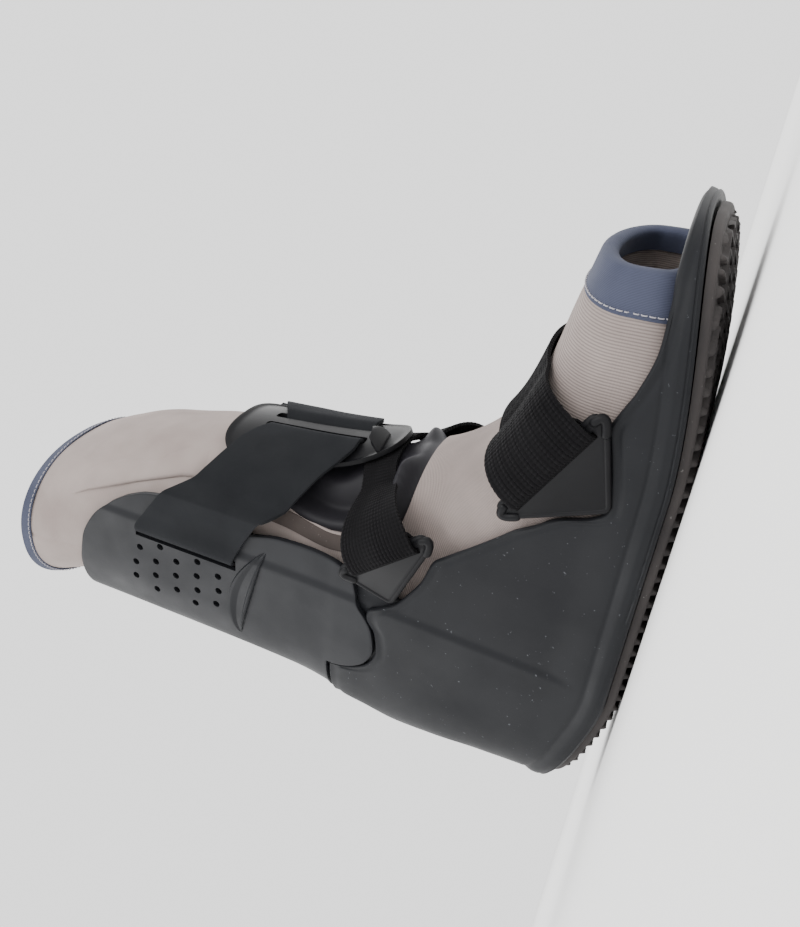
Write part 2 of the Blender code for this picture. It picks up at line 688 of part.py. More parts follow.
def make_calf_strap(tree):
    """Calf strap: behind the front plate in the middle, over it at the sides, and into the cuff's slots."""
    over = plate_inner() + PLATE_THICKNESS + OVER_PLATE
    sections = []
    for row in CALF_STRAP:
        inner = STRAP_CLEARANCE + (over - STRAP_CLEARANCE) * row.lift
        low = (row.middle - row.half) * COLLAR_HEIGHT
        high = (row.middle + row.half) * COLLAR_HEIGHT
        sections.append((row.angle, low, high, inner))
    made = []
    mirrored = [(-angle, low, high, inner) for angle, low, high, inner in reversed(sections[1:])]
    for angle, low, high, inner in mirrored + sections:
        made.append(shaft_section(tree, angle, low, high, inner, inner + STRAP_THICKNESS))
    slot = -CUFF_SLOT_X * HEEL_LENGTH
    low, high = CUFF_STRAP_LOW * COLLAR_HEIGHT, CUFF_STRAP_HIGH * COLLAR_HEIGHT
    for side in (-1.0, 1.0):
        ends = []
        half = STRAP_THICKNESS / 2.0
        mouth = STRAP_MOUTH - CUFF_STRAP_FRONT * HEEL_LENGTH
        for x, share in ((mouth, 0.35), (slot + CUFF_SLOT_WIDTH / 2.0 - GAP * 2.0, 1.0)):
            inside, out = [], []
            for index in range(3):
                first = (CALF_STRAP[-1].middle + CALF_STRAP[-1].half * (index - 1)) * COLLAR_HEIGHT
                last = low + (high - low) * index / 2.0
                z = first + (last - first) * share
                y = skin_side(z) + GAP * 2.0
                inside.append(Vector((x, side * y, z)))
                out.append(Vector((x, side * (y + STRAP_THICKNESS), z)))
            ends.append((inside, out))
        inside, out = [], []
        for index in range(3):
            z = low + (high - low) * index / 2.0
            y = skin_side(z)
            inside.append(Vector((slot + half, side * (y - CUFF_WALL + GAP), z)))
            out.append(Vector((slot - half, side * (y - CUFF_WALL + GAP), z)))
        ends.append((inside, out))
        if side < 0.0:
            made = ends[::-1] + made
        else:
            made = made + ends
    return band("calf_strap", made)


def make_front_plate(tree):
    """Front plate over the shin: a curved shield with two upright strap slots and a tab at its lower edge."""
    inner = plate_inner()
    outer = inner + PLATE_THICKNESS
    row = CALF_STRAP[2]
    middle = row.middle * COLLAR_HEIGHT
    sections = []
    steps = 14
    for index in range(steps + 1):
        angle = PLATE_WIDTH_ANGLE * (2.0 * index / steps - 1.0)
        share = abs(angle) / PLATE_WIDTH_ANGLE
        low = middle - PLATE_BELOW + PLATE_TAPER * share ** 2.5
        high = middle + PLATE_ABOVE - PLATE_TRIM * share ** 4
        sections.append(shaft_section(tree, angle, low, high, inner, outer, steps=4))
    plate = band("front_plate", sections)
    for side in (-1.0, 1.0):
        turn = math.radians(PLATE_SLOT_ANGLE * side)
        away = Vector((math.cos(turn), math.sin(turn), 0.0))
        across = Vector((-math.sin(turn), math.cos(turn), 0.0))
        centre = Vector((SHAFT_AXIS_X, 0.0, middle)) + away * SLOT_CUT_REACH
        size = (SLOT_CUT_DEPTH, PLATE_SLOT_WIDTH, 2.0 * row.half * COLLAR_HEIGHT + SLOT_EASE)
        cut(plate, box("plate slot", centre, size, (away, across, Vector((0, 0, 1)))))
    hit, away = outside(tree, middle - PLATE_BELOW + TAB_ABOVE, 0.0)
    centre = hit + away * (outer + TAB_RAISE / 2.0 - TAB_SINK)
    axes = (away, Vector((0, 1, 0)), Vector((0, 0, 1)))
    join(plate, box("tab", centre, (TAB_RAISE, TAB_WIDTH, TAB_HEIGHT), axes))
    return plate


def loop_frame(place):
    """Corners and axes of a triangular loop in the plane y = 0: rear and front end of the bar, tip."""
    rear = Vector((along(place.rear_x), 0.0, place.rear_z * COLLAR_HEIGHT))
    front = Vector((along(place.front_x), 0.0, place.front_z * COLLAR_HEIGHT))
    tip = Vector((along(place.tip_x), 0.0, place.tip_z * COLLAR_HEIGHT))
    bar = (front - rear).normalized()
    down = (tip - rear) - bar * (tip - rear).dot(bar)
    return rear, front, tip, bar, down.normalized()


def rounded_outline(corners, radius, steps=3):
    """(x, z) points of a polygon with round corners."""
    points = []
    count = len(corners)
    for index, corner in enumerate(corners):
        first = (corners[index - 1] - corner).normalized()
        second = (corners[(index + 1) % count] - corner).normalized()
        angle = first.angle(second) / 2.0
        centre = corner + (first + second).normalized() * (radius / math.sin(angle))
        start = corner + first * (radius / math.tan(angle)) - centre
        stop = corner + second * (radius / math.tan(angle)) - centre
        for step in range(steps + 1):
            mixed = (start.lerp(stop, step / steps)).normalized() * radius
            points.append((centre.x + mixed.x, centre.z + mixed.z))
    return points


def loop_corners(place):
    """Corners of a loop's outline: the bar's two ends, two shoulders below its slot, and the tip."""
    rear, front, tip, bar, down = loop_frame(place)
    shoulder = down * (LOOP_BAR + LOOP_SLOT) + bar * LOOP_BAR * 0.5
    return [rear, front, front + shoulder - bar * LOOP_BAR, tip, rear + shoulder]


def loop_room(place):
    """Body that clears a loop's outline out of the shell or the cuff, on both sides."""
    corners = loop_corners(place)
    middle = sum(corners, Vector()) / len(corners)
    grown = [corner + (corner - middle).normalized() * LOOP_ROOM for corner in corners]
    return prism("loop room", rounded_outline(grown, LOOP_CORNER), -SHELL_WIDTH, SHELL_WIDTH)


def make_loop(name, place, side, strap_width):
    """Triangular loop plate with a slot behind its bar."""
    rear, front, tip, bar, down = loop_frame(place)
    middle = SHELL_WIDTH / 2.0 * place.side
    low, high = middle - LOOP_THICKNESS / 2.0, middle + LOOP_THICKNESS / 2.0
    outline = rounded_outline(loop_corners(place), LOOP_CORNER)
    loop = prism(name, outline, min(side * low, side * high), max(side * low, side * high))
    centre = (rear + front) / 2.0 + down * (LOOP_BAR + LOOP_SLOT / 2.0) + Vector((0.0, side * middle, 0.0))
    size = (strap_width + 0.0012, LOOP_SLOT, LOOP_THICKNESS * 3.0)
    cut(loop, box("loop slot", centre, size, (bar, down, Vector((0, 1, 0)))))
    return loop


def make_strap(name, tree, place, width, taper):
    """Strap from one loop's bar over the instep to the other's, narrower by taper in the middle."""
    rear, front, tip, bar, down = loop_frame(place)
    middle = (rear + front) / 2.0
    centre = middle + down * (LOOP_BAR / 2.0)
    side = SHELL_WIDTH / 2.0 * place.side
    up = -down
    sections = []
    widths = (-0.5, -0.167, 0.167, 0.5)
    steps = 20
    for index in range(steps + 1):
        turn = math.pi * index / steps
        inside, out = [], []
        for share in widths:
            wide = share * width * (1.0 - taper * math.sin(turn) ** 2)
            hub = middle + bar * wide + down * LOOP_BAR
            away = (Vector((0.0, -math.cos(turn), 0.0)) + up * math.sin(turn)).normalized()
            hit = tree.ray_cast(hub + away * RAY_START, -away)[0]
            flat = blend(abs(math.cos(turn)), 0.80, 1.0)
            reach = (hit - hub).length + STRAP_CLEARANCE
            reach += (side - STRAP_THICKNESS / 2.0 - reach) * flat
            inside.append(hub + away * reach)
            out.append(hub + away * (reach + STRAP_THICKNESS))
        sections.append((inside, out))
    strap = band(name, sections)
    for sign in (-1.0, 1.0):
        hub = centre + Vector((0.0, sign * side, 0.0))
        axes = (bar, down, Vector((0, 1, 0)))
        deep = LOOP_BAR + 2.0 * LOOP_SLOT - 4.0 * GAP
        thick = LOOP_THICKNESS + 2.0 * GAP
        join(strap, box("sleeve", hub, (width + 2.0 * GAP, deep, thick + 2.0 * SLEEVE_WALL), axes))
        cut(strap, box("bar room", hub, (width * 1.5, LOOP_BAR + 2.0 * GAP, thick), axes))
    return strap


def material(name, colour, roughness):
    """Principled material of a plain colour."""
    made = bpy.data.materials.new(name)
    made.use_nodes = True
    shader = made.node_tree.nodes["Principled BSDF"]
    shader.inputs["Base Color"].default_value = (*colour, 1.0)
    shader.inputs["Roughness"].default_value = roughness
    shader.inputs["Metallic"].default_value = 0.0
    return made


def main():
    """Builds the boot in a collection of its own."""
    for old in list(bpy.data.objects):
        bpy.data.objects.remove(old)
    plastic = material("moulded plastic", (0.020, 0.021, 0.023), 0.42)
    rubber = material("sole rubber", (0.016, 0.015, 0.015), 0.60)
    foam = material("liner fabric", (0.42, 0.37, 0.34), 0.90)
    padding = material("tongue padding", (0.035, 0.035, 0.040), 0.80)
    webbing = material("webbing", (0.012, 0.012, 0.013), 0.75)
    footbed = material("footbed foam", (0.05, 0.05, 0.055), 0.85)
    whole = liner_body("whole liner", 0.0)
    graph = bpy.context.evaluated_depsgraph_get()
    tree = BVHTree.FromObject(whole, graph)
    bpy.data.objects.remove(whole)
    pieces = [
        (make_outsole(), rubber),
        (make_shell(), plastic),
        (make_cuff(), plastic),
        (make_liner(), foam),
        (make_tongue(), padding),
        (make_insole(), footbed),
        (make_front_plate(tree), plastic),
        (make_calf_strap(tree), webbing),
        (make_strap("foot_strap", tree, FOOT_LOOP, FOOT_STRAP_WIDTH, FOOT_STRAP_TAPER), webbing),
        (make_strap("ankle_strap", tree, ANKLE_LOOP, ANKLE_STRAP_WIDTH, ANKLE_STRAP_TAPER), webbing),
    ]
    for side, word in ((-1.0, "near"), (1.0, "far")):
        pieces.append((make_loop("foot_loop_" + word, FOOT_LOOP, side, FOOT_STRAP_WIDTH), plastic))
        pieces.append((make_loop("ankle_loop_" + word, ANKLE_LOOP, side, ANKLE_STRAP_WIDTH), plastic))
    boot = bpy.data.collections.new("fracture boot")
    bpy.context.scene.collection.children.link(boot)
    for piece, finish in pieces:
        bpy.context.scene.collection.objects.unlink(piece)
        boot.objects.link(piece)
        piece.data.materials.clear()
        piece.data.materials.append(finish)


main()
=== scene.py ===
"""Looks of a fracture boot: rocker sole, moulded shell, calf cuff, soft liner, front plate, straps and loops.

Metres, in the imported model's frame: +X to the toe, +Y to the inner side of the right foot, +Z up the shaft.
"""

import logging
import math
from dataclasses import dataclass, field
from enum import Enum
from typing import Any, Callable, Dict, List, Sequence, Tuple

import bpy
import numpy as np
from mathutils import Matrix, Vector
from mathutils.bvhtree import BVHTree


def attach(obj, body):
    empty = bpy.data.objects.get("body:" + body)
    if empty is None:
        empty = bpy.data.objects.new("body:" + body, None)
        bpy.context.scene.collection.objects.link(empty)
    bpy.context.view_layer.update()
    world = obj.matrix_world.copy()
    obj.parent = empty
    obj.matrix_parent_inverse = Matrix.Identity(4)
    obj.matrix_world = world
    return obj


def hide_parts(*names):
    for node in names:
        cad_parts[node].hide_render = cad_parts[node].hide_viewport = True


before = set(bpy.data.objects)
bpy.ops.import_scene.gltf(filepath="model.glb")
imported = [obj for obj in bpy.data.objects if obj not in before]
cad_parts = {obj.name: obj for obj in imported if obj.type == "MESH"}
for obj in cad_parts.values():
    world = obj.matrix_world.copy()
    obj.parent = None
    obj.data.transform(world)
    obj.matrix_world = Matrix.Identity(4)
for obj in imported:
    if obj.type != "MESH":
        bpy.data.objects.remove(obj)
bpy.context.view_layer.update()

BODY = "root"
LOG = logging.getLogger("boot")
MM = 0.001
Rows = Sequence[Tuple[float, ...]]


# ---------------------------------------------------------------- curves and tables

def smooth_curve(keys: Sequence[float], values: Sequence[float]) -> Callable[[np.ndarray], np.ndarray]:
    """Monotone cubic curve through a table: round between the rows, with no overshoot.

    Args:
        keys: Rising positions of the rows.
        values: Value at each row.

    Returns:
        A function from positions to values, level beyond both ends.
    """
    x, y = np.asarray(keys, float), np.asarray(values, float)
    step, rise = np.diff(x), np.diff(y) / np.diff(x)
    slope = np.zeros_like(y)
    if len(x) > 2:
        same = rise[:-1] * rise[1:] > 0.0
        first, second = 2.0 * step[1:] + step[:-1], step[1:] + 2.0 * step[:-1]
        total = first + second
        safe_low, safe_high = np.where(same, rise[:-1], 1.0), np.where(same, rise[1:], 1.0)
        slope[1:-1] = np.where(same, total / (first / safe_low + second / safe_high), 0.0)
    slope[0], slope[-1] = rise[0], rise[-1]

    def value(at: np.ndarray) -> np.ndarray:
        """Values of the curve at some positions."""
        place = np.clip(np.asarray(at, float), x[0], x[-1])
        index = np.clip(np.searchsorted(x, place, side="right") - 1, 0, len(x) - 2)
        width = x[index + 1] - x[index]
        t = (place - x[index]) / width
        low, high = y[index], y[index + 1]
        return ((1.0 + 2.0 * t) * (1.0 - t) ** 2 * low + t * (1.0 - t) ** 2 * width * slope[index]
                + t * t * (3.0 - 2.0 * t) * high + t * t * (t - 1.0) * width * slope[index + 1])

    return value


def ramp(value: np.ndarray, low: float, high: float) -> np.ndarray:
    """Smooth step: 0 below low, 1 above high."""
    t = np.clip((np.asarray(value, float) - low) / (high - low), 0.0, 1.0)
    return t * t * (3.0 - 2.0 * t)


def path_points(corners: Rows, count: int) -> np.ndarray:
    """Evenly spaced points on a smooth path through some corners.

    Args:
        corners: Points that the path runs through.
        count: Number of points wanted.

    Returns:
        Array of points, as wide as a corner.
    """
    table = np.asarray(corners, float)
    walked = np.concatenate([[0.0], np.cumsum(np.linalg.norm(np.diff(table, axis=0), axis=1))])
    fine = np.linspace(0.0, walked[-1], count * 6)
    curve = np.stack([smooth_curve(walked, table[:, i])(fine) for i in range(table.shape[1])], axis=1)
    length = np.concatenate([[0.0], np.cumsum(np.linalg.norm(np.diff(curve, axis=0), axis=1))])
    wanted = np.linspace(0.0, length[-1], count)
    return np.stack([np.interp(wanted, length, curve[:, i]) for i in range(table.shape[1])], axis=1)


def coons(bottom: np.ndarray, top: np.ndarray, left: np.ndarray, right: np.ndarray) -> np.ndarray:
    """Patch of points between four border curves.

    Args:
        bottom: Points of the lower border, left to right.
        top: Points of the upper border, left to right.
        left: Points of the left border, upwards.
        right: Points of the right border, upwards.

    Returns:
        Array of rows of points, upwards.
    """
    u = np.linspace(0.0, 1.0, len(bottom))[None, :, None]
    v = np.linspace(0.0, 1.0, len(left))[:, None, None]
    ruled = (1 - v) * bottom[None] + v * top[None] + (1 - u) * left[:, None] + u * right[:, None]
    corners = ((1 - u) * (1 - v) * bottom[0] + u * (1 - v) * bottom[-1]
               + (1 - u) * v * top[0] + u * v * top[-1])
    return ruled - corners


# ---------------------------------------------------------------- the boot's common form

@dataclass(frozen=True)
class FootForm:
    """Lengths and tables that sole, shell, cuff and liner share."""

    heel: float = 0.178
    toe: float = 0.1235
    heel_arc: float = 0.125
    toe_arc: float = 0.055
    half_width: float = 0.062
    half_ball: float = 0.0555
    toe_square: float = 2.85
    cuff_top: float = 0.318
    collar: float = 0.366
    toe_swing: float = 0.0085
    swing_start: float = 0.040
    flat_front: float = 0.020
    flat_back: float = 0.090
    toe_rise: float = 0.0163
    heel_rise: float = 0.0261
    gap: float = 0.0003
    sole: float = 0.0062
    wall: float = 0.003
    strut_raise: float = 0.0012
    strut_front: float = 0.083
    heel_share: float = 0.24
    toe_share: float = 0.74
    # height as a share of cuff_top; back as a share of heel; side as a share of half_width; squareness
    skin_rows: Rows = ((0.0, 1.0, 1.0, 2.3), (0.035, 1.0, 1.0, 2.3), (0.110, 0.998, 0.976, 2.5),
                       (0.190, 1.006, 0.962, 2.7), (0.275, 1.028, 0.954, 2.8), (0.350, 1.040, 0.948, 2.8),
                       (0.410, 1.026, 0.940, 2.8), (0.464, 1.012, 0.936, 2.75), (0.484, 0.984, 0.930, 2.7),
                       (0.560, 0.968, 0.926, 2.6), (0.700, 0.964, 0.934, 2.6), (0.860, 0.964, 0.950, 2.6),
                       (1.060, 0.968, 0.968, 2.6))
    side_rows: Rows = ((-0.125, 1.0), (-0.089, 1.0), (-0.065, 0.984), (-0.037, 0.960), (0.0, 0.935),
                       (0.0198, 0.917), (0.037, 0.906), (0.055, 0.895))

    def along(self, share: float) -> float:
        """Distance from the origin for a share of the toe's length, or of the heel's where it is negative."""
        return share * (self.toe if share > 0.0 else self.heel)

    def rocker(self, x: np.ndarray) -> np.ndarray:
        """Height of the tread above the ground."""
        x = np.asarray(x, float)
        front = np.clip((x - self.flat_front) / (self.toe - self.flat_front), 0.0, None)
        back = np.clip((-x - self.flat_back) / (self.heel - self.flat_back), 0.0, None)
        return self.toe_rise * front ** 1.6 + self.heel_rise * back ** 1.4

    def swing(self, x: np.ndarray) -> np.ndarray:
        """Sideways shift of the foot's middle line, which grows to the toe."""
        share = np.clip((np.asarray(x, float) - self.swing_start) / (self.toe - self.swing_start), 0.0, 1.0)
        return self.toe_swing * share ** 1.4

    def base(self, x: np.ndarray) -> np.ndarray:
        """Height of the joint between the shell and the rubber."""
        return self.rocker(x) + self.sole + self.gap

    def floor(self, x: np.ndarray) -> np.ndarray:
        """Height of the top of the shell's floor."""
        return self.base(x) + self.wall

    def raw_plan(self, turn: np.ndarray, share: np.ndarray, inset: np.ndarray) -> Tuple[np.ndarray, np.ndarray]:
        """Plan of the boot before its stations are spaced evenly.

        Args:
            turn: 0 at the middle of the back, 1 at the middle of the toe.
            share: Height as a share of the cuff's top.
            inset: Depth behind the skin, in metres.

        Returns:
            x, and half the width there.
        """
        turn, share, inset = np.broadcast_arrays(*(np.asarray(v, float) for v in (turn, share, inset)))
        table = np.asarray(self.skin_rows)
        back, side, square = (smooth_curve(table[:, 0], table[:, i])(share) for i in (1, 2, 3))
        reach = self.heel * back - self.heel_arc - inset
        angle = np.clip(turn / self.heel_share, 0.0, 1.0) * math.pi / 2.0
        heel_x = -self.heel_arc - reach * np.cos(angle).clip(0.0) ** (2.0 / square)
        heel_y = (self.half_width * side - inset) * np.sin(angle) ** (2.0 / square)
        middle = np.clip((turn - self.heel_share) / (self.toe_share - self.heel_share), 0.0, 1.0)
        side_x = -self.heel_arc + middle * (self.heel_arc + self.toe_arc)
        rows = np.asarray(self.side_rows)
        side_y = self.half_width * side * smooth_curve(rows[:, 0], rows[:, 1])(side_x) - inset
        angle = (1.0 - np.clip((turn - self.toe_share) / (1.0 - self.toe_share), 0.0, 1.0)) * math.pi / 2.0
        length = self.toe - self.toe_arc - inset
        toe_x = self.toe_arc + length * np.cos(angle).clip(0.0) ** (2.0 / self.toe_square)
        toe_y = (self.half_ball * side - inset) * np.sin(angle).clip(0.0) ** (2.0 / self.toe_square)
        x = np.where(turn < self.heel_share, heel_x, np.where(turn <= self.toe_share, side_x, toe_x))
        y = np.where(turn < self.heel_share, heel_y, np.where(turn <= self.toe_share, side_y, toe_y))
        strut = self.strut_raise * ramp(share, 0.06, 0.12)
        strut = strut * ramp(x, -self.strut_front - 0.004, -self.strut_front) * (1.0 - ramp(x, 0.037, 0.060))
        return x, np.maximum(y - strut, 0.0)

    def even_turns(self) -> Callable[[np.ndarray], np.ndarray]:
        """Function from an even share of the way round half the boot to its plan's turn."""
        fine = np.linspace(0.0, 1.0, 2001)
        x, y = self.raw_plan(fine, 0.2, 0.0)
        length = np.concatenate([[0.0], np.cumsum(np.hypot(np.diff(x), np.diff(y)))])
        return lambda way: np.interp(way, length / length[-1], fine)

    def plan(self, way: np.ndarray, height: np.ndarray, inset: np.ndarray = 0.0) -> Tuple[np.ndarray, np.ndarray]:
        """x and half width at an even share of the way from back to toe, at a height in metres."""
        return self.raw_plan(TURNS(way), np.asarray(height, float) / self.cuff_top, inset)

    def way_at(self, x: float, height: float = 0.15) -> float:
        """Share of the way from back to toe at which the skin has a given x."""
        fine = np.linspace(0.0, 1.0, 2001)
        return float(np.interp(x, self.plan(fine, height)[0], fine))

    def skin_side(self, x: float, z: float) -> float:
        """Half width of the skin at a place on the boot's side."""
        return float(self.plan(self.way_at(x, z), z)[1])


FORM = FootForm()
TURNS = FORM.even_turns()


# ---------------------------------------------------------------- mesh tools

def select_only(piece: bpy.types.Object) -> None:
    """Deselects everything, then selects one object and makes it active."""
    bpy.ops.object.select_all(action="DESELECT")
    piece.select_set(True)
    bpy.context.view_layer.objects.active = piece


def apply_modifier(piece: bpy.types.Object, kind: str, **settings: Any) -> None:
    """Adds a modifier with its settings and applies it.

    Args:
        piece: Object to change.
        kind: Blender's name of the modifier's type.
        settings: Values of the modifier's fields.
    """
    select_only(piece)
    bpy.ops.object.modifier_add(type=kind)
    step = piece.modifiers[-1]
    for name, value in settings.items():
        setattr(step, name, value)
    bpy.ops.object.modifier_apply(modifier=step.name)


def edit(piece: bpy.types.Object, *steps: Callable[[], Any]) -> None:
    """Runs edit mode operators on the whole of a piece."""
    select_only(piece)
    bpy.ops.object.mode_set(mode="EDIT")
    bpy.ops.mesh.select_all(action="SELECT")
    for step in steps:
        step()
    bpy.ops.object.mode_set(mode="OBJECT")


def settle(piece: bpy.types.Object) -> None:
    """Moves an object's place into its mesh, so that it sits at the origin, unturned and unscaled."""
    select_only(piece)
    bpy.ops.object.transform_apply(location=True, rotation=True, scale=True)


def smooth(piece: bpy.types.Object, angle: float = 35.0) -> None:
    """Shades a piece smooth, except over edges sharper than an angle in degrees."""
    select_only(piece)
    bpy.ops.object.shade_smooth_by_angle(angle=math.radians(angle))


def surface(name: str, points: np.ndarray, cloth: bool = False, merge: float = 2e-6) -> bpy.types.Object:
    """Sheet of faces: a grid primitive whose corners take the places in a table of points.

    Args:
        name: Object's name.
        points: Rows of points.
        cloth: Whether the sheet gets a UV map in metres along its rows and columns.
        merge: Distance under which corners become one, which closes seams and poles.

    Returns:
        The sheet.
    """
    rows, columns = points.shape[:2]
    bpy.ops.object.select_all(action="DESELECT")
    bpy.ops.mesh.primitive_grid_add(x_subdivisions=columns - 1, y_subdivisions=rows - 1, size=1.0)
    piece = bpy.context.active_object
    piece.name = piece.data.name = name
    mesh = piece.data
    mesh.vertices.foreach_set("co", np.ascontiguousarray(points, dtype=np.float32).reshape(-1))
    if cloth:
        across = np.linalg.norm(np.diff(points, axis=1), axis=2).mean(axis=0)
        upward = np.linalg.norm(np.diff(points, axis=0), axis=2).mean(axis=1)
        u = np.concatenate([[0.0], np.cumsum(across)])
        v = np.concatenate([[0.0], np.cumsum(upward)])
        table = np.stack(np.broadcast_arrays(u[None, :], v[:, None]), axis=2).reshape(-1, 2)
        corners = np.empty(len(mesh.loops), dtype=np.int32)
        mesh.loops.foreach_get("vertex_index", corners)
        mesh.uv_layers[0].data.foreach_set("uv", table[corners].astype(np.float32).reshape(-1))
    mesh.update()
    edit(piece, lambda: bpy.ops.mesh.remove_doubles(threshold=merge))
    return piece


def face_outwards(piece: bpy.types.Object, axis: Callable[[np.ndarray], np.ndarray]) -> None:
    """Turns an open sheet's faces away from a middle line.

    Args:
        piece: Sheet to turn.
        axis: Gives for each face's middle the point of the line that it looks away from.
    """
    mesh = piece.data
    centres, normals = np.empty(len(mesh.polygons) * 3), np.empty(len(mesh.polygons) * 3)
    mesh.polygons.foreach_get("center", centres)
    mesh.polygons.foreach_get("normal", normals)
    centres, normals = centres.reshape(-1, 3), normals.reshape(-1, 3)
    if np.sum((centres - axis(centres)) * normals) < 0.0:
        edit(piece, bpy.ops.mesh.flip_normals)


def recalculate(piece: bpy.types.Object) -> None:
    """Turns a closed body's faces outwards."""
    edit(piece, lambda: bpy.ops.mesh.normals_make_consistent(inside=False))


def shaft_axis(centres: np.ndarray) -> np.ndarray:
    """Points of the shaft's upright middle line at the heights of some faces."""
    line = centres.copy()
    line[:, 0], line[:, 1] = -0.105, 0.0
    return line


def join_pieces(name: str, pieces: List[bpy.types.Object]) -> bpy.types.Object:
    """Joins objects into one, under a name."""
    bpy.ops.object.select_all(action="DESELECT")
    for piece in pieces:
        piece.select_set(True)
    bpy.context.view_layer.objects.active = pieces[0]
    if len(pieces) > 1:
        bpy.ops.object.join()
    piece = bpy.context.active_object
    piece.name = piece.data.name = name
    return piece


def cut_out(piece: bpy.types.Object, tools: List[bpy.types.Object]) -> None:
    """Takes some bodies out of a piece and removes them."""
    tool = join_pieces("tool", tools) if len(tools) > 1 else tools[0]
    settle(tool)
    apply_modifier(piece, "BOOLEAN", object=tool, operation="DIFFERENCE", solver="EXACT")
    bpy.data.objects.remove(tool)


def prism(name: str, outline: Rows, low_y: float, high_y: float) -> bpy.types.Object:
    """Body with an outline of (x, z) points between two planes across the boot.

    Args:
        name: Object's name.
        outline: Corners (x, z), in order.
        low_y: Near plane.
        high_y: Far plane.

    Returns:
        The body, made of a circle primitive that is extruded.
    """
    bpy.ops.object.select_all(action="DESELECT")
    bpy.ops.mesh.primitive_circle_add(vertices=len(outline), radius=1.0, fill_type="NGON")
    piece = bpy.context.active_object
    piece.name = piece.data.name = name
    for vert, (x, z) in zip(piece.data.vertices, outline):
        vert.co = (x, low_y, z)
    grow = {"value": (0.0, high_y - low_y, 0.0)}
    edit(piece, lambda: bpy.ops.mesh.extrude_region_move(TRANSFORM_OT_translate=grow),
         lambda: bpy.ops.mesh.select_all(action="SELECT"),
         lambda: bpy.ops.mesh.normals_make_consistent(inside=False))
    return piece


def tube(name: str, path: np.ndarray, radius: float, sides: int = 10, closed: bool = False) -> bpy.types.Object:
    """Round rod along a path of points.

    Args:
        name: Object's name.
        path: Points along the rod.
        radius: Its radius.
        sides: Faces round it.
        closed: Whether the path's end joins its start.

    Returns:
        The rod, with round closed ends where it is open.
    """
    path = np.asarray(path, float)
    if closed:
        path = np.vstack([path, path[:1]])
    heading = np.gradient(path, axis=0)
    if closed:
        heading[0] = heading[-1] = path[1] - path[-2]
    heading /= np.linalg.norm(heading, axis=1)[:, None]
    side = np.cross(heading[0], (0.31, 0.52, 0.80))
    rings, angles = [], np.linspace(0.0, 2.0 * math.pi, sides + 1)
    for point, ahead in zip(path, heading):
        side = side - ahead * np.dot(side, ahead)
        side /= np.linalg.norm(side)
        other = np.cross(ahead, side)
        rings.append(point + radius * (np.cos(angles)[:, None] * side + np.sin(angles)[:, None] * other))
    if not closed:
        for ring, end, ahead, where in ((rings[0], path[0], -heading[0], 0), (rings[-1], path[-1], heading[-1], None)):
            caps = [end + ahead * radius * math.sin(a) + (ring - end) * math.cos(a)
                    for a in (math.pi / 8, math.pi / 4, 3 * math.pi / 8, math.pi / 2)]
            rings = caps[::-1] + rings if where == 0 else rings + caps
    piece = surface(name, np.asarray(rings))
    recalculate(piece)
    return piece


def dress(piece: bpy.types.Object, finish: bpy.types.Material, nodes: Sequence[str] = ()) -> None:
    """Gives a piece its material and its body, and hides the CAD solids that it replaces.

    Args:
        piece: Finished piece.
        finish: Its material.
        nodes: CAD nodes that it replaces.
    """
    piece.data.materials.clear()
    piece.data.materials.append(finish)
    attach(piece, BODY)
    if nodes:
        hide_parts(*nodes)


# ---------------------------------------------------------------- finishes

def linear(code: str) -> Tuple[float, float, float, float]:
    """Linear colour of an sRGB hex code such as 2b2d31."""
    parts = [int(code[i:i + 2], 16) / 255.0 for i in (0, 2, 4)]
    flat = [p / 12.92 if p <= 0.04045 else ((p + 0.055) / 1.055) ** 2.4 for p in parts]
    return (flat[0], flat[1], flat[2], 1.0)


def add_node(tree: bpy.types.NodeTree, kind: str, sockets: Dict[Any, Any], **settings: Any) -> bpy.types.Node:
    """Adds a node to a material.

    Args:
        tree: Node tree of the material.
        kind: Node type.
        sockets: Value of an input, or the output that it is linked to, by name or index.
        settings: Values of the node's own fields.

    Returns:
        The node.
    """
    node = tree.nodes.new(kind)
    for name, value in settings.items():
        setattr(node, name, value)
    for name, value in sockets.items():
        if isinstance(value, bpy.types.NodeSocket):
            tree.links.new(value, node.inputs[name])
        else:
            node.inputs[name].default_value = value
    return node


class Weave(Enum):
    """Fine structure of a surface."""

    MOULDED = "spark grain of a moulded face"
    KNIT = "ribs of a knit"
    RIBBED = "ribs of woven elastic"
    PILE = "short brushed pile"


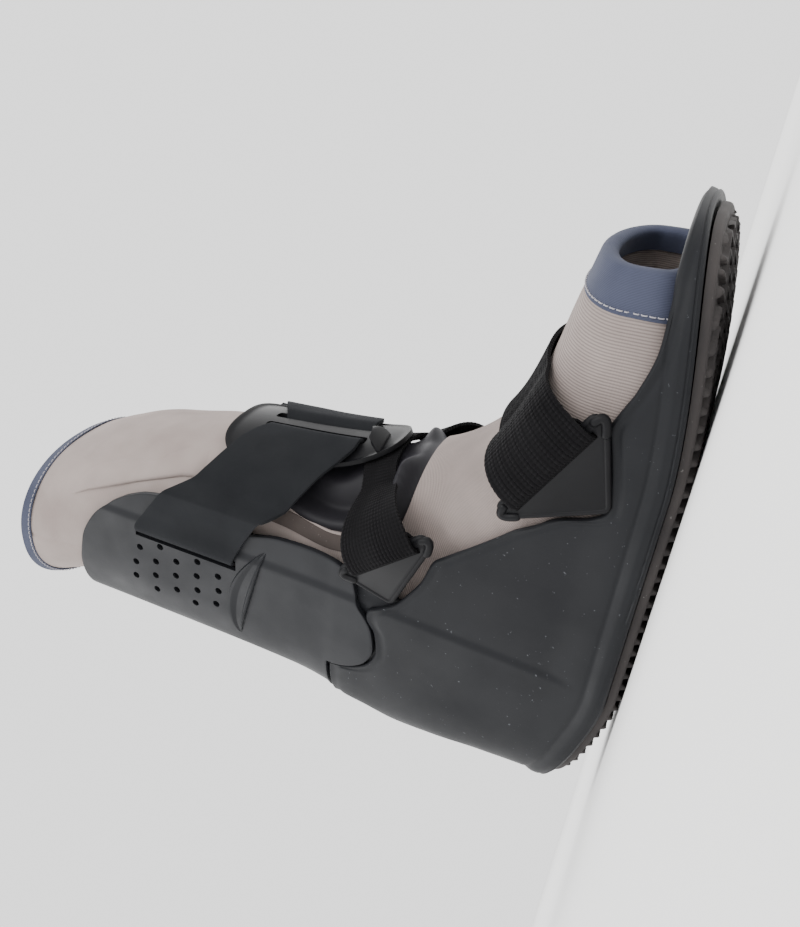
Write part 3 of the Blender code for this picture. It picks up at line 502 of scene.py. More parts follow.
@dataclass(frozen=True)
class Finish:
    """One material: a tone, its patches, its fine structure and its gloss."""

    name: str
    tone: str
    patch: str
    roughness: float
    weave: Weave
    grain_mm: float
    depth_mm: float
    patch_mm: float = 30.0
    rough_spread: float = 0.10
    ior: float = 1.5
    sheen: float = 0.0
    sheen_tone: str = "9a9a9a"
    specks: str = ""
    detail: float = 0.35
    gloss: float = 0.25
    # heights between which the ribs and their painted shade fade to a plain brushed face; (0, 0) for none
    fade: Tuple[float, float] = (0.0, 0.0)

    def make(self) -> bpy.types.Material:
        """Material of this finish, from procedural patterns alone."""
        made = bpy.data.materials.new(self.name)
        made.use_nodes = True
        tree = made.node_tree
        shader = tree.nodes["Principled BSDF"]
        place = add_node(tree, "ShaderNodeTexCoord", {})
        spot = place.outputs["Object"]
        broad = add_node(tree, "ShaderNodeTexNoise", {"Vector": spot, "Scale": 1.0 / (self.patch_mm * MM),
                                                       "Detail": 4.0})
        fine = add_node(tree, "ShaderNodeTexNoise", {"Vector": spot, "Scale": 1.0 / (self.grain_mm * MM), "Detail": 3.0,
                                                      "Roughness": 0.6})
        share = add_node(tree, "ShaderNodeMapRange", {"Value": broad.outputs["Fac"], "From Min": 0.3, "From Max": 0.7})
        colour = add_node(tree, "ShaderNodeMix", {"Factor": share.outputs[0], 6: linear(self.tone),
                                                   7: linear(self.patch)}, data_type="RGBA")
        relief = fine.outputs["Fac"]
        if self.weave in (Weave.KNIT, Weave.RIBBED):
            relief, colour = self.ribs(tree, place, fine.outputs["Fac"], colour)
        if self.specks:
            dots = add_node(tree, "ShaderNodeTexNoise", {"Vector": spot, "Scale": 420.0, "Detail": 2.0,
                                                          "Roughness": 0.75})
            few = add_node(tree, "ShaderNodeMapRange", {"Value": dots.outputs["Fac"], "From Min": 0.70,
                                                         "From Max": 0.76})
            colour = add_node(tree, "ShaderNodeMix", {"Factor": few.outputs[0], 6: colour.outputs[2],
                                                       7: linear(self.specks)}, data_type="RGBA")
        rough = add_node(tree, "ShaderNodeMapRange", {"Value": broad.outputs["Fac"], "From Min": 0.25, "From Max": 0.75,
                                                       "To Min": self.roughness - self.rough_spread,
                                                       "To Max": self.roughness + self.rough_spread})
        bump = add_node(tree, "ShaderNodeBump", {"Height": relief, "Distance": self.depth_mm * MM, "Strength": 1.0})
        tree.links.new(colour.outputs[2], shader.inputs["Base Color"])
        tree.links.new(rough.outputs[0], shader.inputs["Roughness"])
        tree.links.new(bump.outputs["Normal"], shader.inputs["Normal"])
        shader.inputs["IOR"].default_value = self.ior
        shader.inputs["Metallic"].default_value = 0.0
        shader.inputs["Specular IOR Level"].default_value = self.gloss
        if self.sheen > 0.0:
            shader.inputs["Sheen Weight"].default_value = self.sheen
            shader.inputs["Sheen Roughness"].default_value = 0.5
            shader.inputs["Sheen Tint"].default_value = linear(self.sheen_tone)
        return made

    def ribs(self, tree: bpy.types.NodeTree, place: bpy.types.Node, grain: bpy.types.NodeSocket,
             colour: bpy.types.Node) -> Tuple[bpy.types.NodeSocket, bpy.types.Node]:
        """Ribs of thread along the piece's own UV map, crossed by finer stitches, with painted shade in the grooves
        between them.

        Args:
            tree: Node tree of the material.
            place: Node with the piece's coordinates; its UV map is in metres.
            grain: Fine noise that roughens the threads.
            colour: Node with the colour so far.

        Returns:
            The relief's height, and the node with the colour, with painted shade that darkens it between the ribs.
        """
        threads = place.outputs["UV"]
        # A wave node has one rib in 0.3142 units at a scale of 1.
        scale = 0.3142 / (self.grain_mm * MM)
        rib = add_node(tree, "ShaderNodeTexWave", {"Vector": threads, "Scale": scale, "Distortion": 0.6,
                                                    "Detail": 2.0, "Detail Scale": 2.0}, bands_direction="Y")
        stitch = add_node(tree, "ShaderNodeTexWave", {"Vector": threads, "Scale": scale * 1.3, "Distortion": 0.8,
                                                       "Detail": 2.0}, bands_direction="X")
        crossed = add_node(tree, "ShaderNodeMath", {0: rib.outputs["Fac"], 1: stitch.outputs["Fac"]},
                           operation="MULTIPLY")
        mixed = add_node(tree, "ShaderNodeMix", {"Factor": self.detail, 2: rib.outputs["Fac"], 3: crossed.outputs[0]},
                         data_type="FLOAT")
        plain, share = mixed, 1.0
        if self.fade[1] > 0.0:
            spot = add_node(tree, "ShaderNodeSeparateXYZ", {0: place.outputs["Object"]})
            mask = add_node(tree, "ShaderNodeMapRange", {"Value": spot.outputs["Z"], "From Min": self.fade[0],
                                                          "From Max": self.fade[1], "To Min": 1.0, "To Max": 0.15})
            plain = add_node(tree, "ShaderNodeMath", {0: mixed.outputs[0], 1: mask.outputs[0]}, operation="MULTIPLY")
            share = mask.outputs[0]
        worn = add_node(tree, "ShaderNodeMath", {0: grain, 1: 0.35, 2: plain.outputs[0]}, operation="MULTIPLY_ADD")
        # painted shade: the colour is multiplied darker where ribs and stitches are low, as shade in the grooves
        shade = add_node(tree, "ShaderNodeMapRange", {"Value": mixed.outputs[0], "From Min": 0.0, "From Max": 0.6,
                                                       "To Min": 0.62, "To Max": 1.0})
        dark = add_node(tree, "ShaderNodeMix", {"Factor": share, 6: colour.outputs[2], 7: shade.outputs[0]},
                        data_type="RGBA", blend_type="MULTIPLY")
        return worn.outputs[0], dark


# Thermoplastic rubber, moulded and scuffed: brown-black, matt, with pale dust in its pores.
RUBBER = Finish("moulded_rubber", "3a3635", "2f2c2c", 0.66, Weave.MOULDED, 0.9, 0.05, rough_spread=0.08,
                specks="6b6866", gloss=0.22)
# Polypropylene with a fine spark-eroded face: charcoal with a cool cast and soft broad highlights.
SHELL_PLASTIC = Finish("moulded_polypropylene", "17181b", "141518", 0.50, Weave.MOULDED, 0.7, 0.03,
                       specks="4a4c50", gloss=0.16)
# The cuff is the same plastic, thinner; its tone is painted a little paler than the shell's, as painted light for the
# way the cuff is lit.
CUFF_PLASTIC_PAINTED_LIGHTER = Finish("moulded_polypropylene_cuff_painted_lighter", "1b1c1f", "17181b", 0.48, Weave.MOULDED, 0.7, 0.03, gloss=0.16)
# Nylon of plate and loops: near black and smoother, so that its edges catch the light.
NYLON = Finish("moulded_nylon", "131315", "101012", 0.44, Weave.MOULDED, 0.8, 0.02, rough_spread=0.06, gloss=0.13)
# Polyester knit laminated to foam: warm grey, matt, with ribs of about 1.2 mm across the foot and painted shade between
# them, which fade out above the ankle.
KNIT = Finish("brushed_knit", "958a85", "867b77", 0.94, Weave.KNIT, 1.25, 0.11, sheen=0.15,
              sheen_tone="c8c0bc", gloss=0.1, fade=(0.135, 0.165))
# Slate-blue folded binding: fine satin threads, with painted shade between them.
BINDING = Finish("woven_binding", "484c5e", "3f4354", 0.78, Weave.KNIT, 0.55, 0.05, sheen=0.10, gloss=0.15)
# Brushed nylon over soft foam in the throat: dark with a violet cast.
PADDING = Finish("brushed_nylon", "19181c", "141317", 0.55, Weave.PILE, 0.6, 0.05, sheen=0.12,
                 sheen_tone="6a6676", gloss=0.22)
# Unbroken-loop strap: dark grey felt face with a short pile.
LOOP_TAPE = Finish("brushed_loop_tape", "1f2022", "1a1b1d", 0.92, Weave.PILE, 0.5, 0.06, sheen=0.10,
                   sheen_tone="74767c", gloss=0.08)
# Woven elastic: black, ribs of 2 mm lengthwise, crossed by the rubber's puckers, with painted shade between the ribs.
ELASTIC = Finish("woven_elastic", "111012", "0c0b0d", 0.85, Weave.RIBBED, 2.0, 0.45, sheen=0.03, detail=0.8, gloss=0.10)
# Grey-brown hook tape between liner and throat.
HOOK_TAPE = Finish("hook_tape", "4a4340", "3e3836", 0.90, Weave.PILE, 0.8, 0.12, specks="8a817d", gloss=0.1)
# Footbed: fabric-faced foam.
FOOTBED = Finish("fabric_faced_foam", "2b2b2f", "242428", 0.92, Weave.PILE, 0.8, 0.06, gloss=0.1)
# Polyester sewing thread: pale grey and a little shiny.
THREAD = Finish("sewing_thread", "a19ea3", "918e94", 0.60, Weave.PILE, 0.5, 0.02, gloss=0.15)
FLOOR_TONE = "f6f6f5"


# ---------------------------------------------------------------- sole

@dataclass
class Sole:
    """Rubber outsole: a field of wavy ribs inside a smooth bevelled border."""

    inset: float = 0.0035
    border: float = 0.0045
    depth: float = 0.0024
    chamfer: float = 0.0012
    chamfer_rise: float = 0.0014
    pitch: float = 0.0070
    rib_width: float = 0.0036
    wave_length: float = 0.0286
    wave_height: float = 0.0033
    wave_peak: float = -0.0349
    knob: float = 0.0017
    stations: int = 620
    across: int = 110
    pads: Rows = ((0.0608, -0.0224), (0.0605, 0.0351), (-0.127, -0.022), (-0.127, 0.0401))

    def relief(self, x: np.ndarray, y: np.ndarray) -> np.ndarray:
        """How high the tread stands: 1 on a rib or pad, 0 between.

        Args:
            x: Place along the foot.
            y: Place across it.

        Returns:
            Relief from 0 to 1.
        """
        wave = self.wave_height * np.cos(2.0 * math.pi * (y - self.wave_peak) / self.wave_length)
        front = np.mod(-(x - wave) / self.pitch, 1.0) * self.pitch
        soft = 0.0007
        rib = ramp(front, 0.0, soft) * (1.0 - ramp(front, self.rib_width - soft, self.rib_width))
        for pad_x, pad_y in self.pads:
            reach = np.hypot((x - pad_x) / 0.0062, (y - pad_y) / 0.0036)
            rib = np.where(reach < 1.25, rib * ramp(reach, 1.12, 1.25), rib)
            rib = np.maximum(rib, 1.0 - ramp(reach, 0.88, 1.0))
        return rib

    def build(self) -> bpy.types.Object:
        """The outsole's mesh: one closed skin of stations from heel to toe."""
        spread = np.linspace(0.0, 1.0, self.stations)
        fine = np.linspace(0.0, 1.0, 4001)
        x, y = FORM.plan(fine, 0.0, self.inset + self.border)
        weight = np.concatenate([[0.0], np.cumsum(np.abs(np.diff(x)) + 0.12 * np.abs(np.diff(y)))])
        ways = np.interp(spread, weight / weight[-1], fine)
        columns = []

        def edge(inset: float, rise: float, sign: float) -> np.ndarray:
            """One line of the border on one side."""
            px, py = FORM.plan(ways, 0.0, inset)
            return np.stack([px, FORM.swing(px) + sign * py, FORM.rocker(px) + rise], axis=1)

        top = [edge(self.inset, FORM.sole, -1.0), edge(self.inset, self.depth + self.chamfer_rise, -1.0),
               edge(self.inset + self.chamfer * 0.3, self.depth + self.chamfer_rise * 0.35, -1.0),
               edge(self.inset + self.chamfer, self.depth, -1.0)]
        columns += top
        px, py = FORM.plan(ways, 0.0, self.inset + self.border)
        wide, wide_y = FORM.plan(ways, 0.0, self.inset + self.chamfer)
        border_shares = (0.2, 0.4, 0.55, 0.7, 0.85, 1.0)
        for share in border_shares:
            columns.append(self.border_line(px, py, wide, wide_y, share, -1.0))
        for share in np.linspace(-1.0, 1.0, self.across)[1:-1]:
            cross = FORM.swing(px) + share * py
            edge_in = np.minimum(1.0 - abs(share), 1.0) * py
            height = self.relief(px, cross) * ramp(edge_in, 0.0, 0.0008)
            columns.append(np.stack([px, cross, FORM.rocker(px) + self.depth * (1.0 - height)], axis=1))
        for share in reversed(border_shares):
            columns.append(self.border_line(px, py, wide, wide_y, share, 1.0))
        columns += [edge(self.inset + self.chamfer, self.depth, 1.0),
                    edge(self.inset + self.chamfer * 0.3, self.depth + self.chamfer_rise * 0.35, 1.0),
                    edge(self.inset, self.depth + self.chamfer_rise, 1.0), edge(self.inset, FORM.sole, 1.0)]
        columns.append(columns[0])
        piece = surface("outsole_rubber", np.stack(columns, axis=1), merge=1e-5)
        recalculate(piece)
        smooth(piece, 50.0)
        return piece

    def border_line(self, x: np.ndarray, y: np.ndarray, wide_x: np.ndarray, wide_y: np.ndarray, share: float,
                    sign: float) -> np.ndarray:
        """One line of the smooth border, with the round knobs that end the ribs.

        Args:
            x: Stations of the tread field's edge.
            y: Half width of the field there.
            wide_x: Stations of the border's outer edge.
            wide_y: Half width there.
            share: 0 at the outer edge, 1 at the field.
            sign: -1 on the near side, 1 on the far side.

        Returns:
            Points of the line.
        """
        px = wide_x + (x - wide_x) * share
        py = FORM.swing(px) + sign * (wide_y + (y - wide_y) * share)
        wave = self.wave_height * np.cos(2.0 * math.pi * (py - self.wave_peak) / self.wave_length)
        phase = np.mod(-(px - wave) / self.pitch, 1.0) * self.pitch - self.rib_width / 2.0
        off = np.hypot(phase, (1.0 - share) * (self.border - self.chamfer) - self.knob * 0.5)
        bump = np.sqrt(np.clip(1.0 - (off / self.knob) ** 2, 0.0, 1.0))
        bump = bump * ramp(np.abs(py - FORM.swing(px)), 0.006, 0.012)
        return np.stack([px, py, FORM.rocker(px) + self.depth * (1.0 - bump)], axis=1)

    def dress(self) -> bpy.types.Object:
        """Builds the outsole and gives it its rubber."""
        piece = self.build()
        dress(piece, RUBBER.make(), ["outsole"])
        return piece


# ---------------------------------------------------------------- shell

@dataclass
class Shell:
    """Moulded foot shell: floor, side walls and heel cup with a rim along the rubber."""

    flare: float = 0.0010
    rim: float = 0.0055
    band: float = 0.010
    groove_at: float = 0.0021
    groove: float = 0.0005
    tongue_top: float = 0.1908
    cuff_wall: float = 0.003
    round_ways: int = 230
    upward: int = 64
    # (x, z) of the wall's upper edge from back to toe, with the cuff's lower line where it hides the shell
    edge: Rows = ((-0.20, 0.1492), (-0.1355, 0.1492), (-0.1346, 0.1432), (-0.1305, 0.1331), (-0.1241, 0.1260),
                  (-0.1145, 0.1226), (-0.1025, 0.1245), (-0.0935, 0.1297), (-0.0897, 0.1292), (-0.0862, 0.1245),
                  (-0.0838, 0.1203), (-0.0812, 0.1164), (-0.0730, 0.1103), (-0.0611, 0.1034), (-0.0470, 0.0986),
                  (-0.0431, 0.0944), (-0.0304, 0.0798), (-0.0210, 0.0696), (-0.0164, 0.0649), (-0.0107, 0.0566),
                  (-0.0036, 0.0477), (0.0021, 0.0343), (0.0083, 0.0286), (0.0175, 0.0296), (0.0325, 0.0331),
                  (0.0442, 0.0359), (0.0490, 0.0343), (0.0618, 0.0293), (0.0800, 0.0258), (0.0950, 0.0264),
                  (0.1037, 0.0277), (0.1160, 0.0285), (0.1400, 0.0292))

    def top(self, x: np.ndarray) -> np.ndarray:
        """Height of the wall's upper edge."""
        table = np.asarray(self.edge)
        return smooth_curve(table[:, 0], table[:, 1])(x)

    def edge_ways(self) -> Tuple[np.ndarray, np.ndarray]:
        """Even steps along the wall's upper edge: shares of the way from back to toe, and heights."""
        ends = {0: 0.0, len(self.edge) - 1: 1.0}
        table = [(ends.get(i, FORM.way_at(x, z)) * 0.45, z) for i, (x, z) in enumerate(self.edge)]
        points = path_points(table, self.round_ways)
        ways = np.maximum.accumulate(points[:, 0] / 0.45 + np.linspace(0.0, 1e-6, len(points)))
        return np.clip(ways, 0.0, 1.0), points[:, 1]

    def wall_points(self, ways: np.ndarray, height: np.ndarray, sign: float) -> np.ndarray:
        """Points of one half of the shell, column by column from the middle line under it to that above.

        Args:
            ways: Shares of the way from back to toe.
            height: Height of the wall's upper edge at each of them.
            sign: -1 for the near half, 1 for the far half.

        Returns:
            Columns of points.
        """
        lines = []

        def line(z: np.ndarray, inset: np.ndarray, reach: float = 1.0) -> None:
            """Adds one line of points at a height and an inset; reach pulls it to the middle line."""
            px, py = FORM.plan(ways, np.maximum(z, 0.0), inset)
            lines.append(np.stack([px, FORM.swing(px) + sign * py * reach, z], axis=1))

        base_x, _half = FORM.plan(ways, 0.0)
        base = FORM.base(base_x)
        line(base, np.full_like(ways, 0.004), 0.0)
        line(base, np.full_like(ways, 0.010))
        line(base, np.full_like(ways, 0.0006))
        share = np.concatenate([np.linspace(0.0, 0.16, 18)[1:], np.linspace(0.16, 1.0, self.upward)[1:]])
        lip = 0.0013
        for part in share:
            z = base + (height - lip - base) * part
            up = z - base
            swell = self.flare * ramp(up, 0.0, self.rim * 0.35) * (1.0 - ramp(up, self.rim * 0.95, self.band))
            ring = self.groove * np.exp(-((up - self.groove_at) / 0.0004) ** 2)
            crease = 0.00035 * np.exp(-((up - self.band) / 0.0008) ** 2)
            scallop = 0.0005 * np.exp(-((up - (height - base - 0.004)) / 0.0016) ** 2)
            line(z, 0.0006 * (1.0 - ramp(up, 0.0, 0.0007)) - swell + ring + crease + scallop)
        for angle in np.linspace(0.0, math.pi, 7):
            line(height - lip + lip * math.sin(angle), lip - lip * math.cos(angle) + 0.0004 * math.sin(angle))
        inner_x, _half = FORM.plan(ways, 0.05, FORM.wall)
        ground = np.minimum(FORM.floor(inner_x) + 0.002, height - lip - 0.0005)
        for part in np.linspace(0.0, 1.0, 26)[1:]:
            line(height - lip + (ground - height + lip) * part, np.full_like(ways, FORM.wall))
        line(ground - 0.0015, np.full_like(ways, FORM.wall + 0.0015))
        line(ground - 0.0019, np.full_like(ways, 0.012))
        line(ground - 0.0019, np.full_like(ways, 0.004), 0.0)
        return np.stack(lines, axis=0)

    def build(self) -> bpy.types.Object:
        """The shell's mesh: near and far half, closed along the middle line."""
        ways, height = self.edge_ways()
        near = self.wall_points(ways, height, -1.0)
        far = self.wall_points(ways[::-1], height[::-1], 1.0)
        points = np.concatenate([near, far[:, 1:]], axis=1)
        piece = surface("shell_moulded", points, merge=2e-5)
        recalculate(piece)
        smooth(piece, 40.0)
        return piece

    def tongue(self) -> bpy.types.Object:
        """The shell's upright tongue, which rises behind the cuff."""
        ways = np.linspace(0.0, FORM.way_at(-0.0790), 70)
        inset = self.cuff_wall + FORM.gap
        halves = []
        for sign, order in ((-1.0, ways[::-1]), (1.0, ways)):
            rows = []
            for part in np.linspace(0.0, 1.0, 40):
                low = self.top(FORM.plan(order, 0.13)[0]) - 0.014
                z = low + (self.tongue_top - low) * part
                px, py = FORM.plan(order, z, inset)
                rows.append(np.stack([px, sign * py, z], axis=1))
            halves.append(np.stack(rows, axis=0))
        piece = surface("shell_tongue", np.concatenate([halves[0], halves[1][:, 1:]], axis=1))
        face_outwards(piece, shaft_axis)
        apply_modifier(piece, "SOLIDIFY", thickness=0.0026, offset=-1.0)
        apply_modifier(piece, "BEVEL", width=0.0006, segments=2, limit_method="ANGLE", angle_limit=math.radians(50.0))
        smooth(piece, 40.0)
        return piece

    def dress(self) -> List[bpy.types.Object]:
        """Builds the shell and its tongue and gives them their plastic."""
        finish = SHELL_PLASTIC.make()
        shell, tongue = self.build(), self.tongue()
        dress(shell, finish, ["shell"])
        dress(tongue, finish, ["shell"])
        return [shell, tongue]


# ---------------------------------------------------------------- cuff

@dataclass
class Cuff:
    """Calf cuff: back and two wings, with strap slots, rows of vent holes and a crescent rib."""

    wall: float = 0.003
    slot_x: float = -0.09345
    slot_width: float = 0.0065
    slot_low: float = 0.2082
    slot_high: float = 0.2742
    hole_radius: float = 0.0021
    hole_step: Tuple[float, float] = (0.0055, -0.0143)
    # share of the way from chord to arc, and how far the rib stands out there
    rib_profile: Rows = ((0.0, 0.05, 0.11, 0.22, 0.55, 0.78, 0.90, 1.0),
                         (0.0, 0.0024, 0.0030, 0.0016, 0.0014, 0.0028, 0.0030, 0.0))
    rib_root: float = 0.0005
    columns: int = 92
    rows: int = 96
    bottom: Rows = ((-0.1900, 0.1507), (-0.1352, 0.1507), (-0.1346, 0.1447), (-0.1305, 0.1345), (-0.1241, 0.1275),
                    (-0.1145, 0.1240), (-0.1025, 0.1259), (-0.0940, 0.1306), (-0.0900, 0.1340),
                    (-0.0855, 0.1360), (-0.0810, 0.1372), (-0.0719, 0.1399))
    front: Rows = ((-0.0719, 0.1399), (-0.0676, 0.1495), (-0.0660, 0.1654), (-0.0669, 0.1829),
                   (-0.0712, 0.2035), (-0.0673, 0.2226), (-0.0651, 0.2512), (-0.0676, 0.2671), (-0.0735, 0.2805))
    top: Rows = ((-0.1900, 0.3180), (-0.1335, 0.3180), (-0.1139, 0.3148), (-0.0943, 0.3046), (-0.0805, 0.2905),
                 (-0.0735, 0.2805))
    # x and z of the top hole of each slanted row, and how many holes it has
    holes: Rows = ((-0.10484, 0.27221, 2), (-0.11677, 0.27602, 4), (-0.12727, 0.27698, 5), (-0.13208, 0.26267, 4),
                   (-0.13136, 0.23596, 2))
    rib_front: Tuple[float, float] = (-0.0774, 0.1898)
    rib_back: Tuple[float, float] = (-0.1424, 0.2061)
    rib_bulge: float = 0.0145

    def side_points(self, corners: Rows, count: int) -> np.ndarray:
        """Even points (way, height) along a border given in (x, z)."""
        table = [((0.0 if x < -0.18 else FORM.way_at(x, z)) * 0.45, z) for x, z in corners]
        points = path_points(table, count)
        points[:, 0] /= 0.45
        return points

    def patch(self) -> np.ndarray:
        """Rows of (way, height) over one wing and half the back."""
        bottom, top = self.side_points(self.bottom, self.columns), self.side_points(self.top, self.columns)
        right = self.side_points(self.front, self.rows)
        left = np.linspace(bottom[0], top[0], self.rows)
        return coons(bottom, top, left, right)

    def build(self) -> bpy.types.Object:
        """The cuff's mesh with its wall, slots and vent holes."""
        patch = self.patch()
        halves = []
        for sign in (-1.0, 1.0):
            x, y = FORM.plan(patch[..., 0], patch[..., 1])
            half = np.stack([x, sign * y, patch[..., 1]], axis=2)
            halves.append(half[:, ::-1] if sign < 0.0 else half)
        piece = surface("cuff_moulded", np.concatenate([halves[0], halves[1][:, 1:]], axis=1))
        face_outwards(piece, shaft_axis)
        apply_modifier(piece, "SOLIDIFY", thickness=self.wall, offset=-1.0)
        apply_modifier(piece, "BEVEL", width=0.0005, segments=2, limit_method="ANGLE", angle_limit=math.radians(55.0))
        cut_out(piece, self.tools())
        smooth(piece, 32.0)
        return piece

    def tools(self) -> List[bpy.types.Object]:
        """Rods and bars that cut the holes and slots through both wings."""
        made = []
        for top_x, top_z, count in self.holes:
            for index in range(int(count)):
                x, z = top_x + self.hole_step[0] * index, top_z + self.hole_step[1] * index
                bpy.ops.object.select_all(action="DESELECT")
                bpy.ops.mesh.primitive_cylinder_add(vertices=20, radius=self.hole_radius, depth=0.15,
                                                    location=(x, 0.0, z), rotation=(math.pi / 2.0, 0.0, 0.0))
                made.append(bpy.context.active_object)
                settle(made[-1])
        half, low, high = self.slot_width / 2.0, self.slot_low, self.slot_high
        made.append(prism("slot tool", [(self.slot_x - half, low), (self.slot_x + half, low),
                                        (self.slot_x + half, high), (self.slot_x - half, high)], -0.075, 0.075))
        return made

    def rib(self, sign: float) -> bpy.types.Object:
        """Crescent finger rib on one wing: a raised arc over a straight chord.

        Args:
            sign: -1 for the near wing, 1 for the far wing.

        Returns:
            The rib.
        """
        rows = []
        shares = np.linspace(0.0, 1.0, 90)
        fade = np.clip(np.sin(math.pi * shares), 0.0, 1.0) ** 0.5
        for part in np.linspace(0.0, 1.0, 40):
            x = self.rib_front[0] + (self.rib_back[0] - self.rib_front[0]) * shares
            z = self.rib_front[1] + (self.rib_back[1] - self.rib_front[1]) * shares
            z = z + self.rib_bulge * np.sin(math.pi * shares) ** 0.8 * part
            way = np.array([FORM.way_at(a, b) for a, b in zip(x, z)])
            rise = np.interp(part, self.rib_profile[0], self.rib_profile[1]) * fade - self.rib_root
            px, py = FORM.plan(way, z, -rise)
            rows.append(np.stack([px, sign * py, z], axis=1))
        piece = surface("cuff_rib_near" if sign < 0.0 else "cuff_rib_far", np.stack(rows, axis=0), merge=1e-5)
        face_outwards(piece, shaft_axis)
        apply_modifier(piece, "SOLIDIFY", thickness=0.0009, offset=-1.0)
        smooth(piece, 60.0)
        return piece

    def dress(self) -> List[bpy.types.Object]:
        """Builds the cuff and its ribs and gives them their plastic."""
        finish = CUFF_PLASTIC_PAINTED_LIGHTER.make()
        made = [self.build(), self.rib(-1.0), self.rib(1.0)]
        for piece in made:
            dress(piece, finish, ["cuff"])
        return made


# ---------------------------------------------------------------- liner and padding

@dataclass
class LinerForm:
    """Outer form of the soft liner: slanted sections from the toe to the collar."""

    # top_x, top_z, low_x, low_z (0 on the shell's floor), half as a share of 62 mm, square above, square below
    rows: Rows = ((0.0981, 0.0615, 0.1000, 0.0, 0.625, 2.1, 4.0), (0.0850, 0.0644, 0.0860, 0.0, 0.730, 2.1, 4.5),
                  (0.0550, 0.0710, 0.0550, 0.0, 0.805, 2.1, 5.0), (0.0270, 0.0798, 0.0180, 0.0, 0.825, 2.1, 5.0),
                  (0.0040, 0.0937, -0.0450, 0.0, 0.822, 2.2, 5.0), (-0.0141, 0.1160, -0.1299, 0.0, 0.806, 2.3, 4.0),
                  (-0.0249, 0.1391, -0.1600, 0.0542, 0.800, 2.3, 3.0),
                  (-0.0310, 0.1629, -0.1711, 0.0900, 0.800, 2.2, 2.6),
                  (-0.0351, 0.1881, -0.1709, 0.1321, 0.798, 2.2, 2.4),
                  (-0.0379, 0.2101, -0.1613, 0.1680, 0.800, 2.2, 2.3),
                  (-0.0420, 0.2401, -0.1600, 0.2159, 0.832, 2.2, 2.3),
                  (-0.0511, 0.2800, -0.1606, 0.2690, 0.862, 2.2, 2.3),
                  (-0.0641, 0.3199, -0.1620, 0.3181, 0.910, 2.2, 2.3),
                  (-0.0790, 0.3499, -0.1753, 0.3481, 0.955, 2.2, 2.2),
                  (-0.0870, 0.3660, -0.1825, 0.3620, 0.968, 2.2, 2.2))
    clearance: float = 0.0006

    def rings(self, places: np.ndarray, angles: np.ndarray, inset: np.ndarray = 0.0) -> np.ndarray:
        """Points of the liner's sections.

        Args:
            places: Row numbers in the table, with parts of a row.
            angles: Angles round a section: 0 at its lowest point, pi at its top, near side first.
            inset: Depth behind the outer face, one value or a table of places by angles.

        Returns:
            Table of points, places by angles.
        """
        table = np.asarray(self.rows)
        keys = np.arange(len(table))
        low_z = np.where(table[:, 3] > 0.0, table[:, 3], FORM.floor(table[:, 2]) + self.clearance)
        top_x, top_z, low_x, low, half, square, low_square = (
            smooth_curve(keys, column)(places)[:, None]
            for column in (table[:, 0], table[:, 1], table[:, 2], low_z, table[:, 4], table[:, 5], table[:, 6]))
        top = np.concatenate([top_x, FORM.swing(top_x), top_z], axis=1)
        base = np.concatenate([low_x, FORM.swing(low_x), low], axis=1)
        length = np.linalg.norm(top - base, axis=1)[:, None]
        heading = (top - base) / length
        inset = np.broadcast_to(inset, (len(places), len(angles)))
        cosine, sine = np.cos(angles)[None, :], np.sin(angles)[None, :]
        power = np.where(cosine > 0.0, 2.0 / low_square, 2.0 / square)
        up = -np.sign(cosine) * np.abs(cosine) ** power * (length / 2.0 - inset)
        out = -np.sign(sine) * np.abs(sine) ** power * (FORM.half_width * half - inset)
        middle = (top + base) / 2.0
        points = middle[:, None, :] + heading[:, None, :] * up[..., None]
        points[..., 1] += out
        return points

    def even_angles(self, count: int) -> np.ndarray:
        """Angles that space the points of a middle section evenly."""
        fine = np.linspace(0.0, 2.0 * math.pi, 1441)
        ring = self.rings(np.array([4.0]), fine)[0]
        length = np.concatenate([[0.0], np.cumsum(np.linalg.norm(np.diff(ring, axis=0), axis=1))])
        even = np.interp(np.linspace(0.0, length[-1], count), length, fine)
        return 0.6 * even + 0.4 * np.linspace(0.0, 2.0 * math.pi, count)


LINER = LinerForm()


@dataclass
class Hull:
    """The liner's outer face, which straps, tapes and plate are laid on."""

    tree: BVHTree = field(init=False)

    def __post_init__(self) -> None:
        """Builds the face's search tree."""
        places, angles = np.linspace(0.0, 14.0, 200), np.linspace(0.0, 2.0 * math.pi, 161)
        points = LINER.rings(places, angles)
        columns = points.shape[1]
        faces = [(r * columns + c, r * columns + c + 1, (r + 1) * columns + c + 1, (r + 1) * columns + c)
                 for r in range(points.shape[0] - 1) for c in range(columns - 1)]
        self.tree = BVHTree.FromPolygons(points.reshape(-1, 3).tolist(), faces)

    def round_shaft(self, z: float, angle: float) -> Tuple[np.ndarray, np.ndarray]:
        """Point on the face at a height, looking from the shaft's axis at an angle from the front in degrees.

        Args:
            z: Height.
            angle: Degrees from the front, negative on the near side.

        Returns:
            The point and the outward direction.
        """
        away = Vector((math.cos(math.radians(angle)), math.sin(math.radians(angle)), 0.0))
        hit = self.tree.ray_cast(Vector((-0.095, 0.0, z)) + away * 0.3, -away)[0]
        return np.array(hit), np.array(away)

    def from_side(self, x: float, z: float, sign: float) -> np.ndarray:
        """Point on the face seen straight from one side."""
        hit = self.tree.ray_cast(Vector((x, sign * 0.3, z)), Vector((0.0, -sign, 0.0)))[0]
        return np.array(hit) if hit is not None else np.array((x, 0.0, z))


